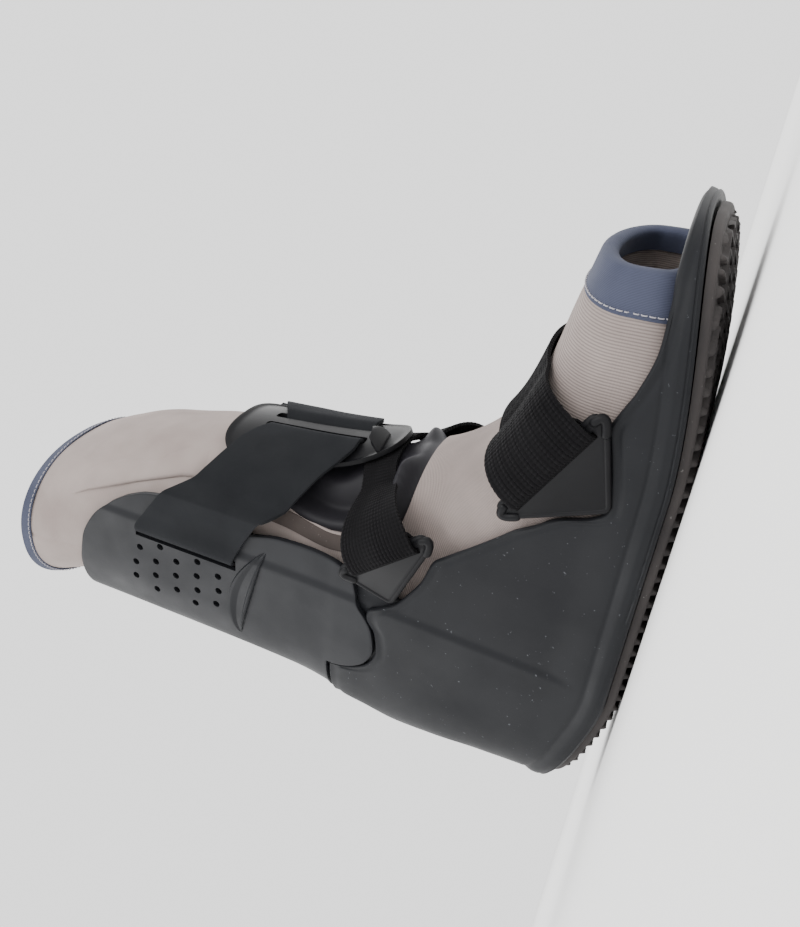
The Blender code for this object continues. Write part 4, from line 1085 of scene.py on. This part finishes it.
@dataclass
class Liner:
    """Soft liner: knit over foam, open at the toe and up the throat, with bindings, tapes and stitches."""

    wall: float = 0.0055
    places: int = 250
    columns: int = 172
    throat: Rows = ((0.060, 0.1190), (-0.018, 0.1205), (-0.036, 0.1215), (-0.048, 0.1235), (-0.0545, 0.1300),
                    (-0.0585, 0.1430), (-0.0610, 0.1600), (-0.0600, 0.1720), (-0.0585, 0.1830), (-0.0575, 0.1950),
                    (-0.0560, 0.2120), (-0.0520, 0.2250), (-0.0450, 0.2310), (0.060, 0.2330))
    # (x, z) of the tape's front edge, upwards
    tape: Rows = ((-0.0600, 0.1480), (-0.0616, 0.1600), (-0.0606, 0.1720), (-0.0592, 0.1830), (-0.0583, 0.1950),
                  (-0.0570, 0.2100))
    tape_width: float = 0.0078
    # (x, z) of the flap's edge, upwards, and how far it stands off at steps in front of that edge
    flap_line: Rows = ((-0.0575, 0.2340), (-0.0620, 0.2550), (-0.0735, 0.2850), (-0.0860, 0.3150), (-0.0985, 0.3380))
    flap_lift: Rows = ((0.0, -0.0010), (0.0002, 0.0010), (0.0007, 0.0018), (0.0016, 0.0021), (0.0035, 0.0018),
                       (0.0070, 0.0009), (0.0110, 0.0002), (0.0150, -0.0010))

    def creases(self, points: np.ndarray) -> np.ndarray:
        """Depth of the folds placed on the outer face.

        Args:
            points: Points of the face.

        Returns:
            Depth at each point: positive inwards.
        """
        x, y, z = points[..., 0], points[..., 1], points[..., 2]
        depth = np.zeros_like(x)
        # dents across the ankle's bend, deepest at the sides, and soft waves up the shaft
        for cx, cz, slope, deep, wide, reach in ((-0.075, 0.108, 0.9, 0.0016, 0.004, 0.035),
                                                  (-0.090, 0.120, 0.5, 0.0012, 0.004, 0.040),
                                                  (-0.150, 0.110, -0.3, 0.0014, 0.005, 0.030),
                                                  (-0.045, 0.098, 1.3, 0.0010, 0.004, 0.022),
                                                  (-0.120, 0.285, 0.15, 0.0008, 0.006, 0.040),
                                                  (-0.100, 0.335, -0.10, 0.0006, 0.006, 0.035)):
            along, off = (x - cx) + (z - cz) * slope, (z - cz) - (x - cx) * slope
            norm = 1.0 + slope * slope
            depth += deep * np.exp(-off ** 2 / norm / wide ** 2) * np.exp(-along ** 2 / norm / reach ** 2)
        # upright seams in the side panels and the slack of the foam
        depth += 0.0007 * np.exp(-((x + 0.1280) / 0.0014) ** 2) * ramp(z, 0.305, 0.320)
        depth += 0.0005 * np.sin(x * 95.0 + z * 60.0) * np.sin(z * 110.0 - y * 70.0)
        return depth

    def body(self) -> bpy.types.Object:
        """The liner's padded wall."""
        places = np.linspace(0.0, 14.0, self.places)
        angles = LINER.even_angles(self.columns)
        flat = LINER.rings(places, angles)
        inset = self.creases(flat)
        inset[:, -1] = inset[:, 0]
        points = LINER.rings(places, angles, inset)
        piece = surface("liner_knit", points, cloth=True)
        face_outwards(piece, foot_axis)
        apply_modifier(piece, "SOLIDIFY", thickness=self.wall, offset=-1.0)
        cut_out(piece, [prism("throat tool", self.throat, -0.08, 0.08)])
        apply_modifier(piece, "BEVEL", width=0.0014, segments=3, limit_method="ANGLE", angle_limit=math.radians(60.0))
        smooth(piece, 60.0)
        return piece

    def bound_edge(self, name: str, start: float, reach: float, rim: float) -> bpy.types.Object:
        """Folded binding round one open end.

        Args:
            name: Object's name.
            start: Row number of the open end.
            reach: Row number where the binding ends.
            rim: How far the fold stands past the end, along the foot or up the shaft.

        Returns:
            The binding.
        """
        angles = LINER.even_angles(150)
        shift = np.array((rim, 0.0, 0.0)) if start < 1.0 else np.array((0.0, 0.0, rim))
        rows = []
        for share in np.linspace(1.0, 0.0, 12):
            rows.append(LINER.rings(np.array([start + (reach - start) * share]), angles, -0.0007)[0])
        for turn in np.linspace(0.0, math.pi, 9):
            depth = self.wall / 2.0 + 0.00035 - (self.wall / 2.0 + 0.00105) * math.cos(turn)
            rows.append(LINER.rings(np.array([start]), angles, depth)[0] + shift * math.sin(turn))
        for share in np.linspace(0.0, 0.7, 6)[1:]:
            rows.append(LINER.rings(np.array([start + (reach - start) * share]), angles, self.wall + 0.0014)[0])
        piece = surface(name, np.asarray(rows), cloth=True)
        centre = np.asarray(rows).reshape(-1, 3).mean(axis=0)
        thick_ring(piece, centre)
        return piece

    def stitches(self, name: str, place: float, pitch: float = 0.0030) -> bpy.types.Object:
        """Line of stitches round the liner at a row number.

        Args:
            name: Object's name.
            place: Row number.
            pitch: Length of one stitch and its gap.

        Returns:
            The thread, which dips into the cloth between stitches.
        """
        angles = LINER.even_angles(900)[:-1]
        ring = LINER.rings(np.array([place]), angles)[0]
        length = np.concatenate([[0.0], np.cumsum(np.linalg.norm(np.diff(ring, axis=0), axis=1))])
        wave = np.sin(2.0 * math.pi * length / pitch)
        depth = -0.00115 + 0.0016 * ramp(-wave, 0.3, 0.8)
        return tube(name, LINER.rings(np.array([place]), angles, depth[None, :])[0], 0.00028, sides=6, closed=True)

    def tape_strip(self, hull: Hull, sign: float) -> bpy.types.Object:
        """Hook tape along the throat's rear edge on one side."""
        path = path_points(self.tape, 60)
        ahead = np.gradient(path, axis=0)
        ahead /= np.linalg.norm(ahead, axis=1)[:, None]
        back = np.stack([-ahead[:, 1], ahead[:, 0]], axis=1)
        rows = []
        for share in np.linspace(0.0, 1.0, 10):
            spots = path + back * self.tape_width * share
            row = [hull.from_side(x, z, sign) + np.array((0.0, sign * 0.0009, 0.0)) for x, z in spots]
            rows.append(row)
        piece = surface("liner_tape_near" if sign < 0.0 else "liner_tape_far", np.asarray(rows), cloth=True)
        face_outwards(piece, shaft_axis)
        apply_modifier(piece, "SOLIDIFY", thickness=0.0011, offset=-1.0)
        smooth(piece, 40.0)
        return piece

    def flap(self, hull: Hull) -> bpy.types.Object:
        """Free edge of the front flap on the near side, which lies over the side panel."""
        rows = []
        for height in np.linspace(self.flap_line[0][1], self.flap_line[-1][1], 120):
            start = float(np.interp(height, [z for _x, z in self.flap_line], [x for x, _z in self.flap_line]))
            fade = float(ramp(height, 0.238, 0.250) * (1.0 - ramp(height, 0.318, 0.336)))
            row = []
            for reach, lift in self.flap_lift:
                spot = hull.from_side(start + reach, height, -1.0)
                away = spot - np.array((-0.105, 0.0, spot[2]))
                row.append(spot + away / np.linalg.norm(away) * (lift * fade - 0.0010 * (1.0 - fade)))
            rows.append(row)
        piece = surface("liner_flap", np.asarray(rows), cloth=True)
        face_outwards(piece, shaft_axis)
        apply_modifier(piece, "SOLIDIFY", thickness=0.0008, offset=-1.0)
        smooth(piece, 60.0)
        return piece

    def dress(self, hull: Hull) -> List[bpy.types.Object]:
        """Builds the liner with its bindings, stitches and tapes."""
        knit, bind, hook = KNIT.make(), BINDING.make(), HOOK_TAPE.make()
        thread = THREAD.make()
        body = self.body()
        toe = self.bound_edge("liner_toe_binding", 0.0, 1.02, 0.0022)
        collar = self.bound_edge("liner_collar_binding", 14.0, 13.45, 0.0010)
        made = [(body, knit), (toe, bind), (collar, bind)]
        made += [(self.stitches("liner_toe_stitches", 0.93), thread),
                 (self.stitches("liner_collar_stitches", 13.52), thread)]
        made += [(self.tape_strip(hull, -1.0), hook), (self.tape_strip(hull, 1.0), hook), (self.flap(hull), knit)]
        for piece, finish in made:
            dress(piece, finish, ["liner"])
        return [piece for piece, _finish in made]


def foot_axis(centres: np.ndarray) -> np.ndarray:
    """Points of the liner's bent middle line nearest to some face middles."""
    table = np.asarray(LINER.rows)
    top, low = table[:, [0, 1]], table[:, [2, 3]]
    line = (top + low) / 2.0
    away = np.linalg.norm(centres[:, None, [0, 2]] - line[None], axis=2).argmin(axis=1)
    found = centres.copy()
    found[:, 0], found[:, 1], found[:, 2] = line[away, 0], 0.0, line[away, 1]
    return found


def thick_ring(piece: bpy.types.Object, centre: np.ndarray) -> None:
    """Gives a folded ring of cloth its thickness, outwards faces first.

    Args:
        piece: Sheet of the ring.
        centre: Middle of the ring.
    """
    face_outwards(piece, lambda centres: np.broadcast_to(centre, centres.shape))
    apply_modifier(piece, "SOLIDIFY", thickness=0.0006, offset=-1.0)
    recalculate(piece)
    smooth(piece, 60.0)


@dataclass
class Throat:
    """Padding in the throat, with the rolls that show between strap, tape and vamp."""

    depth: float = 0.0032
    thickness: float = 0.0045

    def rolls(self, points: np.ndarray) -> np.ndarray:
        """Height of the padding's rolls.

        Args:
            points: Points of the padding's face.

        Returns:
            Height at each point.
        """
        x, z = points[..., 0], points[..., 2]
        side = ramp(np.abs(points[..., 1]), 0.006, 0.020)
        reach = np.hypot((x + 0.030) / 0.030, (z - 0.168) / 0.040)
        rise = 0.0044 * np.exp(-((reach - 0.95) / 0.13) ** 2) - 0.0026 * np.exp(-((reach - 0.66) / 0.10) ** 2)
        rise = rise + 0.0026 * np.exp(-((reach - 1.36) / 0.12) ** 2) + 0.0030 * np.exp(-((reach - 0.38) / 0.14) ** 2)
        rise = rise - 0.0014 * np.exp(-((reach - 1.15) / 0.06) ** 2)
        low = 0.0030 * np.exp(-((z - 0.127 - 0.10 * (x + 0.03)) / 0.0040) ** 2)
        lift = 0.0024 * (1.0 - ramp(z, 0.140, 0.155))
        return ((rise + low) * side + lift) * ramp(z, 0.1225, 0.1290)

    def dress(self) -> List[bpy.types.Object]:
        """Builds the padding and gives it its material."""
        places = np.linspace(4.3, 10.9, 120)
        angles = np.linspace(math.radians(102.0), math.radians(258.0), 110)
        flat = LINER.rings(places, angles)
        inset = self.depth - self.rolls(flat)
        ends = ramp(places, 4.3, 4.8) * (1.0 - ramp(places, 10.3, 10.9))
        sides = ramp(angles, angles[0], angles[0] + 0.25) * (1.0 - ramp(angles, angles[-1] - 0.25, angles[-1]))
        inset = inset + 0.0030 * (1.0 - ends[:, None] * sides[None, :])
        piece = surface("throat_padding", LINER.rings(places, angles, inset), cloth=True)
        face_outwards(piece, foot_axis)
        apply_modifier(piece, "SOLIDIFY", thickness=self.thickness, offset=-1.0)
        apply_modifier(piece, "BEVEL", width=0.0014, segments=3, limit_method="ANGLE", angle_limit=math.radians(60.0))
        smooth(piece, 60.0)
        dress(piece, PADDING.make(), ["tongue"])
        return [piece]


@dataclass
class Footbed:
    """Footbed on the liner's floor."""

    front: float = 0.0865
    back: float = -0.1317
    inset: float = 0.0125
    thickness: float = 0.0036

    def dress(self) -> List[bpy.types.Object]:
        """Builds the footbed and gives it its fabric."""
        ways = np.linspace(FORM.way_at(self.back, 0.04), FORM.way_at(self.front, 0.04), 130)
        x, y = FORM.plan(ways, 0.04, self.inset)
        top = FORM.floor(x) + LINER.clearance + 0.0060 + self.thickness
        rows = []
        for share in np.linspace(-1.0, 1.0, 60):
            lift = 0.0012 * abs(share) ** 6
            rows.append(np.stack([x, FORM.swing(x) + share * y, top + lift], axis=1))
        piece = surface("footbed", np.asarray(rows), cloth=True)
        face_outwards(piece, lambda centres: centres - np.array((0.0, 0.0, 0.1)))
        apply_modifier(piece, "SOLIDIFY", thickness=self.thickness, offset=-1.0)
        apply_modifier(piece, "BEVEL", width=0.0010, segments=3, limit_method="ANGLE", angle_limit=math.radians(55.0))
        smooth(piece, 50.0)
        dress(piece, FOOTBED.make(), ["insole"])
        return [piece]


# ---------------------------------------------------------------- plate and calf strap

@dataclass
class FrontPlate:
    """Shin plate with a raised rim, two upright slots and a hooked tab."""

    low: float = 0.1395
    high: float = 0.2400
    angle: float = 31.0
    taper: float = 0.066
    trim: float = 0.012
    inner: float = 0.0042
    thickness: float = 0.0025
    slot_angle: float = 5.8
    slot_low: float = 0.1595
    slot_high: float = 0.2215
    slot_width: float = 0.0066
    rim: float = 0.0013
    tab: Tuple[float, float] = (-6.0, 0.1520)
    tab_half: float = 0.0088
    # (distance off the plate, height) along the tab's bent section
    tab_profile: Rows = ((0.0, -0.0036), (0.0016, -0.0030), (0.0032, -0.0014), (0.0046, 0.0006),
                         (0.0056, 0.0026), (0.0060, 0.0044))

    def dress(self, hull: Hull) -> List[bpy.types.Object]:
        """Builds the plate and its tab and gives them their nylon."""
        angles = np.linspace(-self.angle, self.angle, 90)
        rows = []
        for share in np.linspace(0.0, 1.0, 110):
            row = []
            for angle in angles:
                out = abs(angle) / self.angle
                low, high = self.low + self.taper * out ** 2.5, self.high - self.trim * out ** 4
                z = low + (high - low) * share
                hit, away = hull.round_shaft(z, angle)
                edge, side = min(share, 1.0 - share) * (high - low), (1.0 - out) * 0.030
                rim = self.rim * math.exp(-(min(edge, side) / 0.0022) ** 2)
                row.append(hit + away * (self.inner + self.thickness + rim))
            rows.append(row)
        plate = surface("front_plate_moulded", np.asarray(rows))
        face_outwards(plate, shaft_axis)
        apply_modifier(plate, "SOLIDIFY", thickness=self.thickness, offset=-1.0)
        apply_modifier(plate, "BEVEL", width=0.0008, segments=3, limit_method="ANGLE", angle_limit=math.radians(55.0))
        tools = []
        for sign in (-1.0, 1.0):
            hit, away = hull.round_shaft((self.slot_low + self.slot_high) / 2.0, sign * self.slot_angle)
            bpy.ops.object.select_all(action="DESELECT")
            bpy.ops.mesh.primitive_cube_add(size=1.0, location=tuple(hit + away * 0.004))
            tool = bpy.context.active_object
            tool.scale = (0.06, self.slot_width, self.slot_high - self.slot_low)
            tool.rotation_euler = (0.0, 0.0, math.radians(sign * self.slot_angle))
            settle(tool)
            apply_modifier(tool, "BEVEL", width=0.002, segments=3)
            tools.append(tool)
        cut_out(plate, tools)
        smooth(plate, 40.0)
        finish = NYLON.make()
        tab = self.make_tab(hull)
        for piece in (plate, tab):
            dress(piece, finish, ["front_plate"])
        return [plate, tab]

    def make_tab(self, hull: Hull) -> bpy.types.Object:
        """Hooked tab at the plate's lower end: a bent bracket with a turned-up edge."""
        angle, height = self.tab
        hit, away = hull.round_shaft(height, angle)
        across = np.cross((0.0, 0.0, 1.0), away)
        root = hit + away * (self.inner + self.thickness - 0.0004)
        profile = path_points(self.tab_profile, 20)
        rows = []
        for index, (out, up) in enumerate(profile):
            half = self.tab_half * math.sqrt(1.0 - 0.75 * (index / (len(profile) - 1.0)) ** 3)
            rows.append([root + away * (out - 0.0010 * share * share) + across * share * half
                         + np.array((0.0, 0.0, up + 0.0012 * share)) for share in np.linspace(-1.0, 1.0, 30)])
        tab = surface("front_plate_tab", np.asarray(rows))
        apply_modifier(tab, "SOLIDIFY", thickness=0.0018, offset=0.0)
        recalculate(tab)
        apply_modifier(tab, "BEVEL", width=0.0006, segments=3, limit_method="ANGLE", angle_limit=math.radians(50.0))
        smooth(tab, 40.0)
        return tab


@dataclass
class CalfStrap:
    """Felt-faced strap: behind the plate in the middle, out of its slots and into the cuff's slots."""

    thickness: float = 0.0020
    # angle from the front in degrees, low and high edge, distance off the liner
    rows: Rows = ((0.0, 0.1625, 0.2110, 0.0022), (3.0, 0.1620, 0.2130, 0.0024), (5.5, 0.1615, 0.2150, 0.0062),
                  (8.5, 0.1612, 0.2165, 0.0090), (13.0, 0.1610, 0.2205, 0.0094),
                  (20.0, 0.1640, 0.2250, 0.0098), (30.0, 0.1715, 0.2300, 0.0098),
                  (42.0, 0.1790, 0.2370, 0.0096), (50.0, 0.1840, 0.2430, 0.0096))
    # x, low and high edge, distance outside the cuff's skin
    side: Rows = ((-0.0590, 0.1925, 0.2520, 0.0040), (-0.0680, 0.1985, 0.2590, 0.0030),
                  (-0.0780, 0.2040, 0.2660, 0.0024),
                  (-0.0880, 0.2085, 0.2720, 0.0020), (-0.0918, 0.2098, 0.2728, 0.0008),
                  (-0.0934, 0.2100, 0.2730, -0.0014),
                  (-0.0945, 0.2100, 0.2730, -0.0040))

    def half(self, hull: Hull, sign: float) -> List[np.ndarray]:
        """Cross lines of one half, from the front to the slot.

        Args:
            hull: The liner's outer face.
            sign: -1 on the near side, 1 on the far side.

        Returns:
            Lines of points from the lower to the upper edge.
        """
        shares = np.linspace(0.0, 1.0, 40)
        lines = []
        for angle, low, high, off in self.rows:
            line = []
            for share in shares:
                z = low + (high - low) * share
                hit, away = hull.round_shaft(z, sign * angle)
                line.append(hit + away * off)
            lines.append(np.asarray(line))
        for x, low, high, off in self.side:
            line = []
            for share in shares:
                z = low + (high - low) * share
                line.append((x, sign * (FORM.skin_side(x, z) + off), z))
            lines.append(np.asarray(line))
        return lines

    def dress(self, hull: Hull) -> List[bpy.types.Object]:
        """Builds the strap and gives it its felt."""
        near, far = self.half(hull, -1.0), self.half(hull, 1.0)
        lines = np.asarray(near[::-1] + far[1:])
        walked = np.concatenate([[0.0], np.cumsum(np.linalg.norm(np.diff(lines, axis=0), axis=2).mean(axis=1))])
        fine = np.linspace(0.0, walked[-1], 300)
        points = np.empty((len(fine), lines.shape[1], 3))
        for column in range(lines.shape[1]):
            for axis in range(3):
                points[:, column, axis] = smooth_curve(walked, lines[:, column, axis])(fine)
        piece = surface("calf_strap_felt", points, cloth=True)
        face_outwards(piece, shaft_axis)
        apply_modifier(piece, "SOLIDIFY", thickness=self.thickness, offset=0.0)
        apply_modifier(piece, "BEVEL", width=0.0006, segments=2, limit_method="ANGLE", angle_limit=math.radians(55.0))
        smooth(piece, 50.0)
        dress(piece, LOOP_TAPE.make(), ["calf_strap"])
        return [piece]


# ---------------------------------------------------------------- instep straps and loops

@dataclass
class InstepStrap:
    """Woven elastic over the instep with its two triangular loops."""

    name: str
    rear: Tuple[float, float]
    front: Tuple[float, float]
    tip: Tuple[float, float]
    side: float
    width: float
    taper: float
    strap_node: str = ""
    thickness: float = 0.0018
    loop_thickness: float = 0.0022
    bar: float = 0.0040
    slot: float = 0.0028
    rim: float = 0.0015
    ear: float = 0.0021
    rib_pitch: float = 0.0022
    rib_height: float = 0.00045

    def axes(self) -> Tuple[np.ndarray, np.ndarray, np.ndarray, np.ndarray, np.ndarray]:
        """Rear and front end of the bar, the tip, and unit directions along the bar and down to the tip."""
        rear, front, tip = (np.array((p[0], 0.0, p[1])) for p in (self.rear, self.front, self.tip))
        bar = (front - rear) / np.linalg.norm(front - rear)
        down = (tip - rear) - bar * np.dot(tip - rear, bar)
        return rear, front, tip, bar, down / np.linalg.norm(down)

    def outline(self, grow: float = 0.0, corner: float = 0.0025) -> List[Tuple[float, float]]:
        """Rounded outline (x, z) of the loop.

        Args:
            grow: Distance by which the corners move out.
            corner: Radius of the corners.

        Returns:
            Points of the outline.
        """
        rear, front, tip, bar, down = self.axes()
        shoulder = down * (self.bar + self.slot) + bar * self.bar * 0.5
        corners = [rear, front, front + shoulder - bar * self.bar, tip, rear + shoulder]
        middle = sum(corners) / len(corners)
        if grow:
            corners = [c + (c - middle) / np.linalg.norm(c - middle) * grow for c in corners]
        points = []
        for index, spot in enumerate(corners):
            first, second = corners[index - 1] - spot, corners[(index + 1) % len(corners)] - spot
            first, second = first / np.linalg.norm(first), second / np.linalg.norm(second)
            angle = math.acos(float(np.clip(np.dot(first, second), -1.0, 1.0))) / 2.0
            half = (first + second) / np.linalg.norm(first + second)
            centre = spot + half * corner / math.sin(angle)
            start = spot + first * corner / math.tan(angle) - centre
            stop = spot + second * corner / math.tan(angle) - centre
            for share in np.linspace(0.0, 1.0, 7):
                mixed = start * (1.0 - share) + stop * share
                mixed = centre + mixed / np.linalg.norm(mixed) * corner
                points.append((float(mixed[0]), float(mixed[2])))
        return points

    def loop(self, sign: float) -> bpy.types.Object:
        """Triangular loop on one side: a plate with a round rim, a slot behind its bar and two ears.

        Args:
            sign: -1 on the near side, 1 on the far side.

        Returns:
            The loop.
        """
        rear, front, _tip, bar, down = self.axes()
        low, high = self.side - self.loop_thickness / 2.0, self.side + self.loop_thickness / 2.0
        plate = prism("loop plate", self.outline(-0.0012), min(sign * low, sign * high), max(sign * low, sign * high))
        centre = (rear + front) / 2.0 + down * (self.bar + self.slot / 2.0)
        half_bar, half_slot = (self.width + 0.0012) / 2.0, self.slot / 2.0
        corners = [centre + bar * a * half_bar + down * b * half_slot for a, b in ((-1, -1), (1, -1), (1, 1), (-1, 1))]
        cut_out(plate, [prism("slot tool", [(c[0], c[2]) for c in corners], -0.08, 0.08)])
        apply_modifier(plate, "BEVEL", width=0.0005, segments=2, limit_method="ANGLE", angle_limit=math.radians(50.0))
        outline = np.array([(x, sign * self.side, z) for x, z in self.outline(-0.0004)])
        closed = np.vstack([outline, outline[:1]])
        walked = np.concatenate([[0.0], np.cumsum(np.linalg.norm(np.diff(closed, axis=0), axis=1))])
        even = np.linspace(0.0, walked[-1], 140)[:-1]
        path = np.stack([np.interp(even, walked, closed[:, axis]) for axis in range(3)], axis=1)
        parts = [plate, tube("rim", path, self.rim, sides=12, closed=True)]
        for end, way in ((rear, -1.0), (front, 1.0)):
            start = end + down * self.bar * 0.45 - bar * way * 0.0035
            turn = end + down * (self.bar + self.slot) * 0.55 + bar * way * 0.0002
            stop = end + down * (self.bar + self.slot + 0.0016) - bar * way * 0.0042
            pull = turn * 1.9 - (start + stop) * 0.45
            path = np.array([(1 - t) ** 2 * start + 2 * t * (1 - t) * pull + t * t * stop
                             for t in np.linspace(0.0, 1.0, 16)])
            path[:, 1] = sign * (self.side + 0.0006)
            parts.append(tube("ear", path, self.ear, sides=12))
        piece = join_pieces("%s_loop_%s_nylon" % (self.name, "near" if sign < 0.0 else "far"), parts)
        smooth(piece, 40.0)
        return piece

    def strap(self, hull: Hull) -> bpy.types.Object:
        """Strap from one loop's bar over the instep to the other's, wrapped round both bars."""
        rear, front, _tip, bar, down = self.axes()
        middle = (rear + front) / 2.0
        count = int(round(self.width / self.rib_pitch)) * 6
        shares = np.linspace(-0.5, 0.5, count + 1)
        rib = self.rib_height * np.abs(np.sin(math.pi * (shares + 0.5) * self.width / self.rib_pitch))
        rows = []
        steps = 150
        wrap = self.bar / 2.0 + self.thickness / 2.0 + 0.0003
        for index in range(steps + 1):
            turn = math.pi * index / steps
            row = []
            for share, raised in zip(shares, rib):
                wide = share * self.width * (1.0 - self.taper * ramp(math.sin(turn), 0.10, 0.85))
                hub = middle + bar * wide + down * self.bar
                away = np.array((0.0, -math.cos(turn), 0.0)) - down * math.sin(turn)
                away /= np.linalg.norm(away)
                hit = hull.tree.ray_cast(Vector(hub + away * 0.3), Vector(-away))[0]
                reach = np.linalg.norm(np.array(hit) - hub) + 0.0012 + self.thickness / 2.0
                flat = min(1.0, max(0.0, (abs(math.cos(turn)) - 0.72) / 0.28)) ** 1.5
                reach += (self.side + wrap - reach) * flat
                weave = 0.00012 * math.cos(math.pi * index)
                row.append(hub + away * (reach + raised + weave))
            rows.append(row)
        for sign, where in ((-1.0, 0), (1.0, 1)):
            hooks = []
            for angle in np.linspace(0.0, math.pi, 12)[1:]:
                centre = middle + down * self.bar * 0.5 + np.array((0.0, sign * self.side, 0.0))
                spot = centre + down * (self.bar * 0.5 + self.slot * 0.72) * math.sin(angle)
                spot = spot + np.array((0.0, sign * wrap * math.cos(angle), 0.0))
                hooks.append([spot + bar * share * self.width * (1.0 - 0.03 * angle / math.pi) for share in shares])
            for back in (0.003, 0.006):
                narrow = 1.0 - (0.10 + 0.30 * self.taper) * back / 0.006
                spot = middle - down * back + np.array((0.0, sign * (self.side - wrap * (1.0 - back * 30.0)), 0.0))
                hooks.append([spot + bar * share * self.width * narrow for share in shares])
            rows = hooks[::-1] + rows if where == 0 else rows + hooks
        piece = surface("%s_strap_elastic" % self.name, np.asarray(rows), cloth=True)
        apply_modifier(piece, "SOLIDIFY", thickness=self.thickness, offset=0.0)
        recalculate(piece)
        smooth(piece, 60.0)
        return piece

    def dress(self, hull: Hull) -> List[bpy.types.Object]:
        """Builds strap and loops and gives them their finishes."""
        strap = self.strap(hull)
        dress(strap, ELASTIC.make(), [self.strap_node])
        made = [strap]
        nylon = NYLON.make()
        for sign, word in ((-1.0, "near"), (1.0, "far")):
            piece = self.loop(sign)
            dress(piece, nylon, ["%s_loop_%s" % (self.name, word)])
            made.append(piece)
        return made


FOOT_STRAP = InstepStrap("foot", (-0.00623, 0.07357), (0.05051, 0.04136), (0.00951, 0.02749), 0.0561, 0.050, 0.14,
                         "foot_strap")
ANKLE_STRAP = InstepStrap("ankle", (-0.06906, 0.1464), (-0.03257, 0.10394), (-0.07903, 0.11701), 0.05654, 0.041, 0.60,
                          "ankle_strap")


# ---------------------------------------------------------------- studio

@dataclass
class Studio:
    """Pale floor, soft lights and the camera."""

    lens: float = 31.26
    aim: Tuple[float, float, float] = (-0.036, 0.0, 0.142)
    position: Tuple[float, float, float] = (0.189, -0.341, 0.009)
    up: Tuple[float, float, float] = (0.90, 0.36, 0.25)
    floor_size: float = 8.0
    lights: Rows = ((1.2, -1.6, 1.9, 1.6, 40.0), (-1.7, -1.2, 1.3, 1.5, 20.0), (0.4, 1.9, 1.8, 1.6, 20.0))

    def floor(self) -> None:
        """Adds the floor under the boot."""
        bpy.ops.object.select_all(action="DESELECT")
        bpy.ops.mesh.primitive_plane_add(size=self.floor_size, location=(0.0, 0.0, 0.0))
        plane = bpy.context.active_object
        plane.name = plane.data.name = "floor"
        settle(plane)
        paper = bpy.data.materials.new("matt_paper")
        paper.use_nodes = True
        shader = paper.node_tree.nodes["Principled BSDF"]
        shader.inputs["Base Color"].default_value = linear(FLOOR_TONE)
        shader.inputs["Roughness"].default_value = 0.9
        plane.data.materials.append(paper)

    def light(self) -> None:
        """Adds the area lights and the pale surroundings."""
        for index, (x, y, z, size, power) in enumerate(self.lights):
            bpy.ops.object.select_all(action="DESELECT")
            bpy.ops.object.light_add(type="AREA", location=(x, y, z))
            lamp = bpy.context.active_object
            lamp.name = "softbox_%d" % index
            lamp.data.size, lamp.data.energy = size, power
            lamp.rotation_euler = (Vector((-0.03, 0.0, 0.14)) - lamp.location).to_track_quat("-Z", "Y").to_euler()
        world = bpy.data.worlds.new("pale room")
        bpy.context.scene.world = world
        world.use_nodes = True
        back = world.node_tree.nodes["Background"]
        back.inputs["Color"].default_value = linear("ffffff")
        back.inputs["Strength"].default_value = 1.75

    def camera(self) -> None:
        """Adds the camera at the photograph's direction, rolled as there and kept above the floor."""
        bpy.ops.object.select_all(action="DESELECT")
        bpy.ops.object.camera_add(location=self.position)
        camera = bpy.context.active_object
        camera.data.lens = self.lens
        camera.data.sensor_width = 36.0
        camera.data.clip_start = 0.01
        ahead = (Vector(self.aim) - Vector(self.position)).normalized()
        right = ahead.cross(Vector(self.up)).normalized()
        above = right.cross(ahead)
        turn = bpy.context.active_object.matrix_world.to_3x3()
        for row in range(3):
            turn[row][0], turn[row][1], turn[row][2] = right[row], above[row], -ahead[row]
        camera.rotation_euler = turn.to_euler()
        bpy.context.scene.camera = camera

    def set_up(self) -> None:
        """Puts up floor, lights and camera."""
        self.floor()
        self.light()
        self.camera()


def main() -> None:
    """Builds the boot's pieces in order."""
    logging.basicConfig(level=logging.INFO, format="%(message)s")
    Studio().set_up()
    hull = Hull()
    steps = (Sole().dress, Shell().dress, Cuff().dress, lambda: Liner().dress(hull), Throat().dress, Footbed().dress,
             lambda: FrontPlate().dress(hull), lambda: CalfStrap().dress(hull), lambda: FOOT_STRAP.dress(hull),
             lambda: ANKLE_STRAP.dress(hull))
    for step in steps:
        made = step()
        for piece in made if isinstance(made, list) else [made]:
            LOG.info("%s: %d faces", piece.name, len(piece.data.polygons))


if __name__ == "__main__":
    main()
